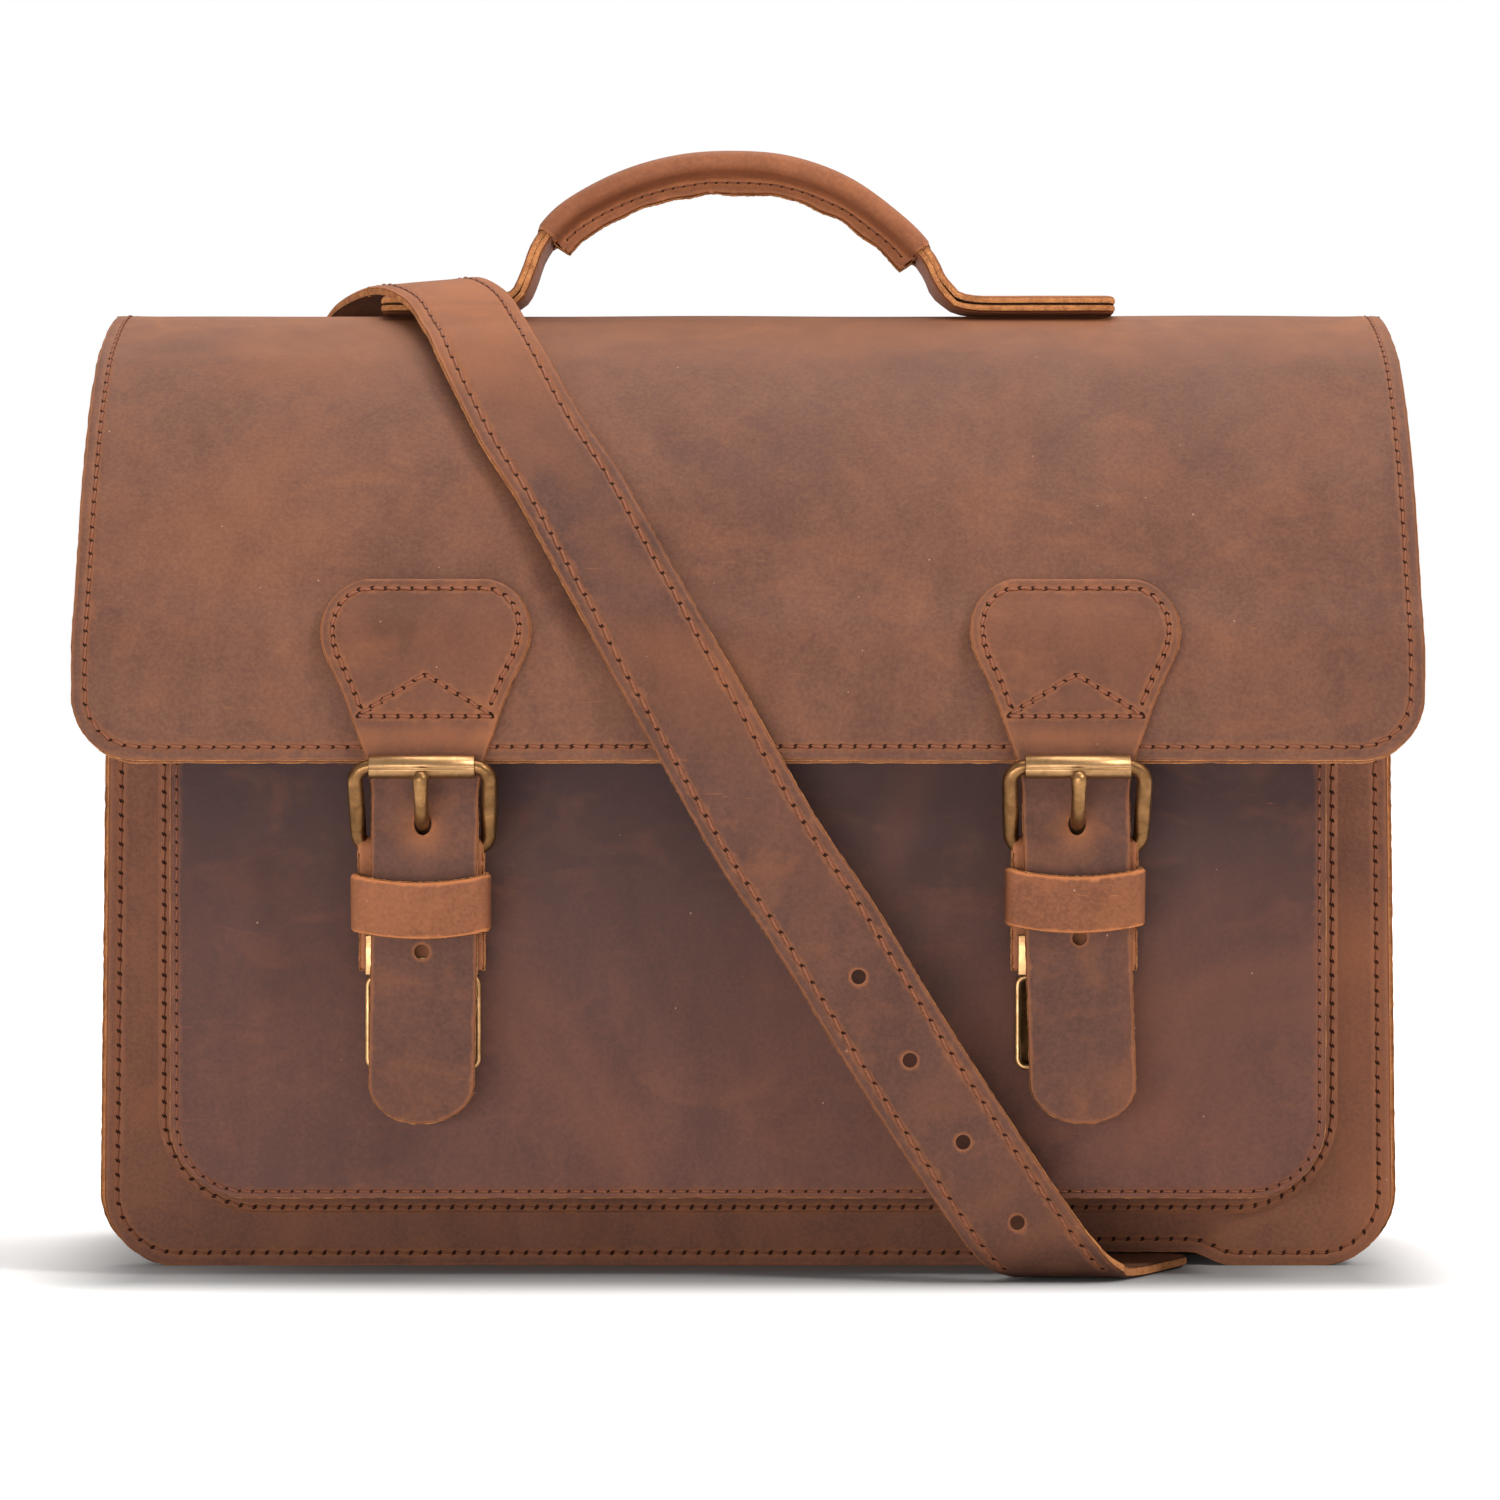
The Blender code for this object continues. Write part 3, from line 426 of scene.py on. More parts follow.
# ---------------------------------------------------------------- materials
class Nodes:
    """Short way to write the node tree of a material or a world."""

    def __init__(self, owner):
        self.owner = owner
        owner.use_nodes = True
        self.tree = owner.node_tree

    def put(self, node, values):
        """Give a node its inputs: each a socket to link, or a value to set; a colour is three numbers."""
        for key, value in values.items():
            socket = node.inputs[key]
            if isinstance(value, bpy.types.NodeSocket):
                self.tree.links.new(value, socket)
            else:
                socket.default_value = (*value, 1.0) if socket.type == "RGBA" else value
        return node

    def add(self, kind, inputs=None, **settings):
        """New node with its inputs and settings."""
        node = self.tree.nodes.new(kind)
        for key, value in settings.items():
            setattr(node, key, value)
        return self.put(node, inputs or {})

    def rest(self):
        """Place on the surface before any joint moved it."""
        return self.add("ShaderNodeAttribute", attribute_name="rest").outputs["Vector"]

    def number(self, name):
        """One of the mesh's numbers, by its attribute name."""
        return self.add("ShaderNodeAttribute", attribute_name=name).outputs["Fac"]

    def noise(self, scale, detail=3.0, roughness=0.55, vector=None, distortion=0.0):
        node = self.add("ShaderNodeTexNoise", {"Vector": vector or self.rest(), "Scale": scale,
                                               "Detail": detail, "Roughness": roughness,
                                               "Distortion": distortion})
        return node.outputs["Fac"]

    def stretch(self, scale):
        return self.vector("MULTIPLY", self.rest(), scale)

    def span(self, value, low, high, out_low=0.0, out_high=1.0):
        """A value's range from low to high, turned into another range."""
        return self.add("ShaderNodeMapRange", {"Value": value, "From Min": low, "From Max": high,
                                               "To Min": out_low, "To Max": out_high},
                        clamp=True).outputs["Result"]

    def math(self, operation, a, b=0.0):
        return self.add("ShaderNodeMath", {0: a, 1: b}, operation=operation).outputs[0]

    def mix(self, factor, a, b):
        """Colour between two colours, each a socket or three numbers."""
        return self.add("ShaderNodeMix", {"Factor": factor, 6: a, 7: b}, data_type="RGBA").outputs[2]

    def bump(self, height, distance, strength, normal=None):
        below = {} if normal is None else {"Normal": normal}
        return self.add("ShaderNodeBump", {"Height": height, "Distance": distance, "Strength": strength,
                                           **below}).outputs["Normal"]

    def vector(self, operation, a, b=(0.0, 0.0, 0.0), output=0):
        return self.add("ShaderNodeVectorMath", {0: a, 1: b}, operation=operation).outputs[output]

    def finish(self, colour, roughness, normal=None, specular=0.5, metal=0.0, glow=0.0):
        """Connect the shader, and give the material."""
        values = {"Base Color": colour, "Roughness": roughness, "Specular IOR Level": specular,
                  "Metallic": metal, "Emission Color": (1.0, 1.0, 1.0), "Emission Strength": glow}
        if normal is not None:
            values["Normal"] = normal
        self.put(self.tree.nodes["Principled BSDF"], values)
        return self.owner


def grain_leather(name, dark, light, orange, wear=0.5, shade=None):
    """Waxed pull-up leather: cloudy browns, lighter where it is bent, sewn or rubbed, and where worn carries
    painted light.

    shade is (low z, high z, share): painted shade that darkens the leather towards its top, where the flap
    overhangs the pocket.
    """
    k = Nodes(bpy.data.materials.new(name))
    streaked = k.stretch((1.0, 1.0, 0.35))
    cloud = k.noise(11.0, 4.0, 0.6, distortion=0.6)
    patch = k.noise(34.0, 4.0, 0.62, streaked, 0.4)
    mottle = k.noise(95.0, 4.0, 0.6, streaked, 0.5)
    fine = k.noise(760.0, 4.0, 0.75)
    pore = k.noise(2600.0, 2.0, 0.6)
    tone = k.math("ADD", k.span(cloud, 0.30, 0.70, 0.05, 0.62), k.span(patch, 0.3, 0.7, -0.15, 0.25))
    tone = k.math("ADD", tone, k.span(mottle, 0.34, 0.66, -0.12, 0.12))
    tone = k.math("ADD", tone, k.span(fine, 0.38, 0.62, -0.24, 0.24))
    colour = k.mix(k.span(tone, 0.0, 1.0), dark, light)
    if shade:
        # painted shade: near-black mixed in more and more towards the top
        low, high, share = shade
        height = k.add("ShaderNodeSeparateXYZ", {0: k.rest()}).outputs["Z"]
        height = k.math("ADD", height, k.span(cloud, 0.3, 0.7, -0.02, 0.02))
        colour = k.mix(k.span(height, low, high, 0.0, share), colour, (0.020, 0.011, 0.013))
    warm = k.span(k.noise(7.0, 3.0, 0.6, distortion=1.2), 0.5, 0.78, 0.0, 0.35)
    rubbed = k.span(k.noise(38.0, 5.0, 0.65, k.stretch((1.0, 1.0, 1.8)), 0.8), 0.50, 0.74, 0.0, 0.18)
    colour = k.mix(k.math("MAXIMUM", warm, rubbed), colour, orange)
    ragged = k.span(k.noise(160.0, 3.0, 0.7), 0.25, 0.75, 0.4, 1.5)
    edge = k.number("edge")
    seam = k.number("seam")
    rub = k.span(k.math("MULTIPLY", edge, ragged), 0.2, 1.1, wear * 0.8, 0.0)
    sewn = k.span(k.math("MULTIPLY", seam, ragged), 0.4, 1.7, wear * 0.7, 0.0)
    # worn: rubbing, and on the tops of the flap and the strap also painted light
    worn = k.math("MULTIPLY", k.number("worn"), k.span(patch, 0.35, 0.65, 0.55, 1.0))
    for lighter in (rub, sewn, worn):
        colour = k.mix(lighter, colour, orange)
    groove = k.span(seam, 0.15, 0.60, 0.75, 0.0)
    colour = k.mix(groove, colour, (0.09, 0.028, 0.014))
    scratch = k.noise(60.0, 2.0, 0.5, k.stretch((1.0, 1.0, 14.0)), 1.5)
    scratch = k.span(scratch, 0.735, 0.76, 0.0, 0.28)
    colour = k.mix(scratch, colour, orange)
    speck = k.add("ShaderNodeTexVoronoi", {"Vector": k.rest(), "Scale": 85.0}).outputs["Distance"]
    colour = k.mix(k.span(speck, 0.014, 0.028, 0.4, 0.0), colour, (0.62, 0.42, 0.30))
    rough = k.span(k.math("ADD", cloud, k.math("MULTIPLY", fine, 0.6)), 0.5, 1.1, 0.58, 0.80)
    normal = k.bump(pore, 0.00006, 0.5)
    normal = k.bump(fine, 0.00022, 0.45, normal)
    normal = k.bump(patch, 0.0012, 0.30, normal)
    return k.finish(colour, rough, normal, specular=0.22)


def raw_edge(name, dark, light):
    """Cut edge: layered fibres, lighter than the grain."""
    k = Nodes(bpy.data.materials.new(name))
    fibre = k.noise(1500.0, 4.0, 0.75)
    band = k.noise(240.0, 3.0, 0.6)
    tone = k.math("ADD", k.span(fibre, 0.3, 0.7, -0.1, 0.6), k.span(band, 0.3, 0.7, -0.1, 0.5))
    colour = k.mix(k.span(tone, 0.0, 1.0), dark, light)
    normal = k.bump(fibre, 0.0005, 0.8)
    return k.finish(colour, 0.86, normal, specular=0.2)


def suede(name, dark, light):
    """Flesh side: short soft nap."""
    k = Nodes(bpy.data.materials.new(name))
    nap = k.noise(1100.0, 4.0, 0.75)
    cloud = k.noise(26.0, 4.0, 0.6, distortion=0.8)
    tone = k.math("ADD", k.span(nap, 0.3, 0.7, -0.2, 0.5), k.span(cloud, 0.3, 0.7, -0.1, 0.6))
    colour = k.mix(k.span(tone, 0.0, 1.0), dark, light)
    normal = k.bump(nap, 0.0004, 0.7)
    return k.finish(colour, 0.93, normal, specular=0.12)


def thread_look():
    """Waxed rust thread with its twist."""
    k = Nodes(bpy.data.materials.new("waxed_thread"))
    twist = k.add("ShaderNodeTexWave", {"Vector": k.rest(), "Scale": 900.0, "Distortion": 2.0},
                  bands_direction="DIAGONAL").outputs["Fac"]
    colour = k.mix(k.span(twist, 0.1, 0.9), (0.100, 0.028, 0.012), (0.270, 0.080, 0.030))
    colour = k.mix(k.span(k.noise(120.0), 0.35, 0.7, 0.0, 0.5), colour, (0.19, 0.065, 0.032))
    return k.finish(colour, 0.6, k.bump(twist, 0.0001, 0.6), specular=0.35)


def hole_shade_look():
    """Painted shade of a stitch hole: a near-black disc where the hole's dark inside would be."""
    k = Nodes(bpy.data.materials.new("awl_hole_shade"))
    colour = k.mix(k.span(k.noise(1800.0), 0.3, 0.7), (0.012, 0.004, 0.002), (0.035, 0.012, 0.006))
    return k.finish(colour, 0.9, None, specular=0.1)


def brass(name, dark, light, rough=(0.26, 0.5)):
    """Antique brass: patina in patches, rubbed bright where it is handled."""
    k = Nodes(bpy.data.materials.new(name))
    patina = k.noise(140.0, 5.0, 0.65, distortion=0.8)
    fine = k.noise(1300.0, 3.0, 0.7)
    brushed = k.noise(420.0, 2.0, 0.5, k.stretch((0.08, 1.0, 1.0)))
    tone = k.math("ADD", k.span(patina, 0.3, 0.68, 0.0, 0.8), k.span(brushed, 0.3, 0.7, -0.15, 0.25))
    colour = k.mix(k.span(tone, 0.0, 1.0), dark, light)
    colour = k.mix(k.span(fine, 0.62, 0.74, 0.0, 0.5), colour, (0.10, 0.06, 0.03))
    roughness = k.span(k.math("ADD", patina, k.math("MULTIPLY", fine, 0.5)), 0.5, 1.05, rough[1], rough[0])
    normal = k.bump(brushed, 0.00012, 0.4, k.bump(fine, 0.00010, 0.5))
    return k.finish(colour, roughness, normal, metal=1.0)


THREAD = thread_look()
HOLE_SHADE = hole_shade_look()
BROWN = grain_leather("pull_up_brown", (0.086, 0.033, 0.020), (0.154, 0.064, 0.036), (0.29, 0.100, 0.034))
BODY_BROWN = grain_leather("body_brown", (0.107, 0.040, 0.023), (0.192, 0.074, 0.039),
                           (0.32, 0.108, 0.038), 0.5)
# the pocket's leather, with painted shade towards its top under the flap
POCKET_BROWN = grain_leather("pocket_brown", (0.065, 0.026, 0.020), (0.117, 0.046, 0.031),
                             (0.23, 0.076, 0.031), 0.45, shade=(0.050, 0.150, 0.80))
STRAP_BROWN = grain_leather("strap_brown", (0.059, 0.023, 0.015), (0.113, 0.045, 0.028),
                            (0.34, 0.114, 0.038), 0.52)
TAN = grain_leather("bent_tan", (0.178, 0.059, 0.025), (0.290, 0.104, 0.044), (0.40, 0.14, 0.048), 0.5)
KEEPER_TAN = grain_leather("keeper_tan", (0.082, 0.026, 0.012), (0.205, 0.073, 0.034),
                           (0.50, 0.17, 0.056), 1.0)
EDGE = raw_edge("raw_edge", (0.24, 0.080, 0.028), (0.62, 0.26, 0.090))
SUEDE = suede("suede_side", (0.13, 0.052, 0.026), (0.27, 0.120, 0.062))
# looks of a sheet: its grain side, its cut edge, its flesh side
LEATHER, BODY_LEATHER, POCKET_LEATHER, STRAP_LEATHER, TAN_LEATHER, KEEPER_LEATHER, LINING = (
    [grain, EDGE, SUEDE] for grain in (BROWN, BODY_BROWN, POCKET_BROWN, STRAP_BROWN, TAN, KEEPER_TAN, SUEDE))
DARK_BRASS = brass("antique_brass", (0.11, 0.053, 0.020), (0.29, 0.150, 0.060))
BRIGHT_BRASS = brass("rubbed_brass", (0.27, 0.145, 0.060), (0.52, 0.30, 0.14), (0.28, 0.44))
PRONG_BRASS = brass("prong_brass", (0.13, 0.065, 0.024), (0.38, 0.20, 0.08))


# ---------------------------------------------------------------- settling pieces on bodies
def riding(body):
    """Settle a piece on one body."""
    return lambda made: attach(made, body)


def bending():
    """Settle a piece where it stands, with its transform baked into its mesh."""
    return lambda made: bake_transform(made)


def stand(made, settle, slot, *nodes):
    """Place one finished piece on its body, and hide the CAD nodes that it stands for; slot, its finish, is
    not used.
    """
    settle(made)
    if nodes:
        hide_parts(*nodes)
    return made


def strip_grid(line, marks, halves, columns, centre=0.0):
    """Grid along a line, ruled along X."""
    reach = np.asarray(halves)[:, None] * columns[None, :]
    return at(line, marks)[:, None, :] + X_AXIS * (centre + reach)[..., None]


def grid_line(grid, normals, columns, value):
    """The line at one column position, with its normals."""
    j = np.searchsorted(columns, value) - 1
    share = (value - columns[j]) / (columns[j + 1] - columns[j])
    mix = [part[:, j] * (1 - share) + part[:, j + 1] * share for part in (grid, normals)]
    return mix[0], unit(mix[1])


def drawn_seam(line, points, centre, **options):
    """Seam through points (x, distance along the line) on a strip ruled along X."""
    knots = np.array(points, float)
    dense = resample(knots, 160)
    middle = at(line, dense[:, 1])
    normal = unit(np.cross(tangent_at(line, dense[:, 1]), X_AXIS))
    return Seam(middle + X_AXIS * (centre + dense[:, :1]), normal, **options)


def tangent_at(line, distances):
    """Unit tangents of a line at distances from its start."""
    ahead = at(line, distances + 0.5 * MM)
    return unit(ahead - at(line, distances - 0.5 * MM))


def merged(name, parts):
    """Several meshes joined into one piece."""
    built = bmesh.new()
    looks = []
    for part in parts:
        shift = len(looks)
        looks += list(part.data.materials)
        before = len(built.faces)
        built.from_mesh(part.data)
        built.faces.ensure_lookup_table()
        for face in built.faces[before:]:
            face.material_index += shift
        bpy.data.objects.remove(part)
    mesh = bpy.data.meshes.new(name)
    built.to_mesh(mesh)
    built.free()
    for look in looks:
        mesh.materials.append(look)
    return linked(name, mesh)


def rounded_box(name, low, high, radius, look):
    """Small solid with rounded edges, between two corners."""
    low, high = np.array(low), np.array(high)
    built = bmesh.new()
    bmesh.ops.create_cube(built, size=1.0)
    bmesh.ops.scale(built, vec=high - low, verts=built.verts)
    bmesh.ops.translate(built, vec=(low + high) / 2, verts=built.verts)
    bmesh.ops.bevel(built, geom=built.edges[:], offset=radius, segments=3, affect="EDGES", profile=0.5)
    points = [tuple(v.co) for v in built.verts]
    faces = [[v.index for v in f.verts] for f in built.faces]
    built.free()
    return new_object(name, points, faces, [look])


def punch(made, cutters):
    """Cut holes through a finished sheet, and refresh what its materials read."""
    for cutter in cutters:
        step = made.modifiers.new("punch", "BOOLEAN")
        step.operation = "DIFFERENCE"
        step.solver = "EXACT"
        step.object = cutter
    graph = bpy.context.evaluated_depsgraph_get()
    cut = bpy.data.meshes.new_from_object(made.evaluated_get(graph))
    made.modifiers.clear()
    made.data = cut
    for cutter in cutters:
        bpy.data.objects.remove(cutter)
    points = np.array([v.co for v in cut.vertices])
    if "rest" not in cut.attributes:
        cut.attributes.new("rest", "FLOAT_VECTOR", "POINT")
    cut.attributes["rest"].data.foreach_set("vector", points.astype(np.float32).ravel())


def cutter(centre, half_x, half_z, depth):
    """Oval bar along Y that cuts a hole."""
    turn = np.arange(28) * 2 * math.pi / 28
    oval = np.column_stack([np.cos(turn) * half_x, np.zeros(28), np.sin(turn) * half_z])
    ends = np.vstack([oval - Y_AXIS * depth, oval + Y_AXIS * depth]) + centre
    sides = [[i, (i + 1) % 28, (i + 1) % 28 + 28, i + 28] for i in range(28)]
    faces = [side[::-1] for side in sides] + [list(range(28)), list(range(55, 27, -1))]
    return new_object("cutter", ends, faces, [EDGE])


def rounded_path(half_u, half_v, radius, steps=8):
    """Closed rounded rectangle (u, v), anticlockwise from the right."""
    path = []
    for quarter, (su, sv) in enumerate(((1, 1), (-1, 1), (-1, -1), (1, -1))):
        for i in range(steps + 1):
            angle = math.radians(90.0 * (quarter + i / steps))
            path.append((su * (half_u - radius) + radius * math.cos(angle),
                         sv * (half_v - radius) + radius * math.sin(angle)))
    return np.array(path)


def bag_box(name, low, high, radius, look):
    """Small solid with rounded edges, between two corners in the bag's own frame."""
    return rounded_box(name, *bag([low, high]), radius, look)


def around(centre, radius, first, last, steps=14):
    """Arc (y, z) about a bar, from one angle to another in degrees; 0 is +Y and 90 is +Z."""
    turn = np.radians(np.linspace(first, last, steps))
    return [(centre[0] + radius * math.cos(a), centre[1] + radius * math.sin(a)) for a in turn]


# ---------------------------------------------------------------- flap
FLAP_CORNER = 19.5 * MM
FLAP_LEATHER = 2.2 * MM
FLAP_SECTION = bag([
    (0.0575, FLAP_SEAM_Z), (0.0575, 0.2720), (0.0574, 0.2850), (0.0530, 0.2932), (0.0390, 0.2985),
    (0.0200, 0.3006), (0.0, 0.3010), (-0.0210, 0.2960), (-0.0405, 0.2886), (-0.0545, 0.2813),
    (-0.0695, 0.2678), (-0.0820, 0.2525), (-0.0930, 0.2358), (-0.1050, 0.2110), (-0.1130, 0.1965),
    (-0.1150, 0.1860), (-0.1150, 0.1720), (-0.1150, FLAP_EDGE_Z)])
flap_line = spline(FLAP_SECTION)
LIFT_FOLD = bending()
FRONT_FOLD = bending()

flap_marks, flap_halves = rounded_rows(run_of(flap_line)[-1], FLAP_HALF, FLAP_CORNER)
flap_columns = across_marks(FLAP_HALF)
flap_grid = strip_grid(flap_line, flap_marks, flap_halves, flap_columns)
flap_normals = surface_normals(flap_grid)
ridge = int(np.argmin(np.abs(flap_grid[:, 0, 1] - RIDGE_Y) + (flap_grid[:, 0, 2] < 0.29)))

for part, rows, settle, nodes in (
        ("top", slice(None, ridge + 1), LIFT_FOLD, ("flap_seam_leather", "flap_top_leather")),
        ("front", slice(ridge, None), FRONT_FOLD, ("flap_front_leather",))):
    grid, normals = flap_grid[rows], flap_normals[rows]
    is_top = part == "top"
    rim, rim_normals = (grid[::-1], normals[::-1]) if is_top else (grid, normals)
    seam = edge_seam(rim, rim_normals, 4.1 * MM, pitch=4.5 * MM, gauge=0.38 * MM)
    opened = (False, True) if is_top else (True, False)
    # lighter towards the ridge: partly wear at the fold, partly painted light on the top that faces up
    rubbed = 0.54 * np.clip((grid[..., 2] - 0.280) / 0.020, 0, 1) * (grid[..., 1] < 0.075)
    leather = sheet("flap_leather_" + part, grid, FLAP_LEATHER, LEATHER, [seam], opened, normals=normals,
                    seed=3, wear=rubbed)
    stand(leather, settle, "leather", *nodes)
    sew("flap_stitches_" + part, [seam], settle)
    # the lining: a hair narrower than the leather, and a little longer at the front
    under = (grid - normals * (FLAP_LEATHER + 0.25 * MM)) * np.array([0.998, 1.0, 1.0])
    under[..., 2] -= 0.8 * MM * np.clip((0.2 - under[..., 2]) / 0.03, 0, 1)
    lining = sheet("flap_lining_" + part, under, 1.4 * MM, LINING, [], opened, normals=normals, seed=4,
                   uneven=0.1 * MM)
    stand(lining, settle, "lining", f"flap_{part}_lining")


# ---------------------------------------------------------------- walls and gussets
BODY_CORNER = 23 * MM
BODY_RIM = (0.0, 0.1985, 0.2012, BODY_CORNER)     # bottom, half width at the top and the bottom, corner
POCKET_RIM = (0.025, 0.1755, 0.1755, 0.023)
POCKET_TOP = 0.205
FLANGE_Y = 0.0488               # past this distance from the ridge the main gusset is folded to a flange
# arches in the lower edges, which the shoulder strap passes under: centre, half width of the top and the foot
FRONT_ARCH = (0.117, 0.021, 0.034)
BACK_ARCH = (0.140, 0.0175, 0.030)
ARCH_HEIGHT = 4.3 * MM


def arch(x, shape):
    """Lift of a lower edge at x."""
    if shape is None:
        return np.zeros_like(x)
    centre, flat, foot = shape
    share = np.clip((np.abs(x - centre) - flat) / (foot - flat), 0, 1)
    return ARCH_HEIGHT * 0.5 * (1 + np.cos(math.pi * share))


def wall_grid(face_y, top_z, bottom_z, half_top, half_bottom, corner, lift=None):
    """Flat wall with rounded lower corners, from its top edge down."""
    marks, halves = rounded_rows(top_z - bottom_z, half_bottom, corner)
    halves = halves * np.interp(marks, [0, marks[-1]], [half_top / half_bottom, 1.0])
    x = halves[:, None] * across_marks(half_bottom)[None, :]
    z = np.repeat((top_z - marks)[:, None], x.shape[1], axis=1)
    z = z + arch(x, lift) * np.clip(1 - (z - bottom_z) / 0.04, 0, 1)
    return np.stack([x, np.full_like(x, face_y + RIDGE_Y), z], axis=-1)


def rail(top_z, bottom_z, half_top, half_bottom, corner, lift=None, step=2.0 * MM):
    """Edge of a wall, from its top left down and round to its top right: points (x, z), outward normals."""
    down = np.linspace(top_z, bottom_z + corner, 90)
    share = (top_z - down) / (top_z - bottom_z - corner)
    left = np.column_stack([-(half_top + (half_bottom - half_top) * share), down])
    turn = np.radians(np.linspace(180, 270, 24)[1:])
    bend = np.column_stack([corner * np.cos(turn) - half_bottom + corner,
                            corner * np.sin(turn) + bottom_z + corner])
    low_x = np.linspace(-half_bottom + corner, 0, 90)[1:]
    low = np.column_stack([low_x, np.full(len(low_x), bottom_z)])
    half = np.vstack([left, bend, low])
    whole = np.vstack([half, half[-2::-1] * np.array([-1.0, 1.0])])
    whole = resample(whole, int(run_of(whole)[-1] / step))
    along = directions(whole)
    outward = np.column_stack([along[:, 1], -along[:, 0]])
    near_floor = np.clip(1 - (whole[:, 1] - bottom_z) / 0.01, 0, 1)
    whole[:, 1] += arch(whole[:, 0], lift) * near_floor
    return whole, outward


def gusset_grid(edge, outward, profile):
    """Strip that follows an edge; its profile holds (inset, y) points."""
    profile = spline([(inset, y) for inset, y in profile], 1.0 * MM)
    flat = edge[:, None, :] - outward[:, None, :] * profile[None, :, :1]
    y = np.broadcast_to(profile[None, :, 1] + RIDGE_Y, flat.shape[:2])
    return np.stack([flat[..., 0], y, flat[..., 1]], axis=-1)


def rail_seam(edge, outward, inset, y, facing, **options):
    """Seam that follows an edge at an even inset, facing the front or the back."""
    flat = edge - outward * inset
    line = np.column_stack([flat[:, 0], np.full(len(flat), y + RIDGE_Y), flat[:, 1]])
    return Seam(line, np.tile(Y_AXIS * facing, (len(line), 1)), **options)


ON_BAG = riding("bag")
wall_seams = []
for part, face, top_z, lift, flip in (("front_panel", FRONT_FACE, 0.262, FRONT_ARCH, False),
                                      ("back_panel", BACK_FACE, 0.283, BACK_ARCH, True)):
    grid = wall_grid(face, top_z, *BODY_RIM, lift)
    normals = np.broadcast_to(Y_AXIS * (1.0 if flip else -1.0), grid.shape)
    seam = edge_seam(grid, normals, 4.0 * MM, pitch=4.5 * MM, gauge=0.25 * MM)
    leather = sheet(part + "_leather", grid, 3.0 * MM, BODY_LEATHER, [seam], flip=flip, seed=11,
                    uneven=0.3 * MM, normals=normals)
    stand(leather, ON_BAG, "leather", part)
    wall_seams.append(seam)

pocket_grid = wall_grid(POCKET_FACE, POCKET_TOP, *POCKET_RIM)
pocket_normals = np.broadcast_to(-Y_AXIS, pocket_grid.shape)
pocket_seam = edge_seam(pocket_grid, pocket_normals, 1.9 * MM, pitch=4.0 * MM, gauge=0.22 * MM, hole=0.95)
pocket = sheet("pocket_leather", pocket_grid, 2.5 * MM, POCKET_LEATHER, [pocket_seam], seed=15,
               uneven=0.5 * MM, wear=0.05, normals=pocket_normals)
stand(pocket, ON_BAG, "leather", "pocket_panel")

body_edge, body_out = rail(0.260, *BODY_RIM, FRONT_ARCH)
SAG = 3.0 * MM                  # the gusset's middle bows in
gusset_shape = gusset_grid(body_edge, body_out, (
    (-0.0013, -0.0497), (0.0070, -0.0497), (0.0094, -FLANGE_Y), (0.0102, -0.0460), (0.0110, -0.0300),
    (0.0110 + SAG, 0.0), (0.0110, 0.0300), (0.0102, 0.0460), (0.0094, FLANGE_Y), (0.0070, 0.0497),
    (0.0008, 0.0497)))
# its flange stays above the floor that the walls stand on
gusset_shape[..., 2] += 1.8 * MM * np.clip(1 - gusset_shape[..., 2] / BODY_CORNER, 0, 1)
flange = np.abs(gusset_shape[..., 1] - RIDGE_Y) > FLANGE_Y
gusset = sheet("gusset_leather", gusset_shape, 2.0 * MM, BODY_LEATHER, flip=True, seed=21, uneven=0.6 * MM,
               wear=0.5 * flange)
for face in gusset.data.polygons:
    if face.material_index == 2 and abs(face.center.y - RIDGE_Y) > FLANGE_Y:
        face.material_index = 1     # split thin, so the flange shows fibres like a cut edge
stand(gusset, ON_BAG, "leather", "main_gusset")

pocket_edge, pocket_out = rail(POCKET_TOP, *POCKET_RIM)
flange_seam = rail_seam(pocket_edge, pocket_out, -6.6 * MM, -0.0573, -1.0, pitch=4.4 * MM, gauge=0.25 * MM)
pocket_side_grid = gusset_grid(pocket_edge, pocket_out, (
    (0.0060, -0.0973), (0.0030, -0.0973), (0.0013, -0.0962), (0.0010, -0.0930), (0.0022, -0.0770),
    (0.0012, -0.0610), (0.0002, -0.0584), (-0.0025, -0.0574), (-0.0062, -0.0572), (-0.0080, -0.0567),
    (-0.0090, -0.0560)))
pocket_side = sheet("pocket_gusset_leather", pocket_side_grid, 2.0 * MM, BODY_LEATHER, [flange_seam],
                    flip=True, seed=23, uneven=0.3 * MM)
stand(pocket_side, ON_BAG, "tan_leather", "pocket_gusset")
sew("wall_stitches", wall_seams + [pocket_seam, flange_seam], ON_BAG)


# ---------------------------------------------------------------- closures
HEAD_TOP = 0.2112
HEAD_SEAM_Z = 0.1712            # cross seam at the foot of the head, and the peak of the chevron over it
CHEVRON_Z = 0.1838
GATE_Z = 0.1388                 # hole that the prong passes through
ROLLER_BAR = (-0.1222, 0.156)
HEEL_BAR = (-0.1115, 0.131)
on_flap = flap_line[(flap_line[:, 2] < HEAD_TOP) & (flap_line[:, 2] > 0.1690) & (flap_line[:, 1] < 0)]
CLOSURE_BACK = np.vstack([offset(on_flap, 0.6 * MM), bag([
    (-0.1154, 0.1632), (-0.1154, 0.1500), (-0.1157, 0.1420), (-0.1161, 0.1340), (-0.1160, 0.1280),
    (-0.1149, 0.1205), (-0.1131, 0.1125), (-0.1118, 0.1060), (-0.1114, 0.1000), (-0.1115, 0.0800),
    (-0.1118, TAIL_END_Z)])])
closure_line = offset(spline(resample(CLOSURE_BACK, 30)), 3.0 * MM)
closure_length = run_of(closure_line)[-1]
HEAD_ROUND = 18 * MM
TAIL_ROUND = 12 * MM
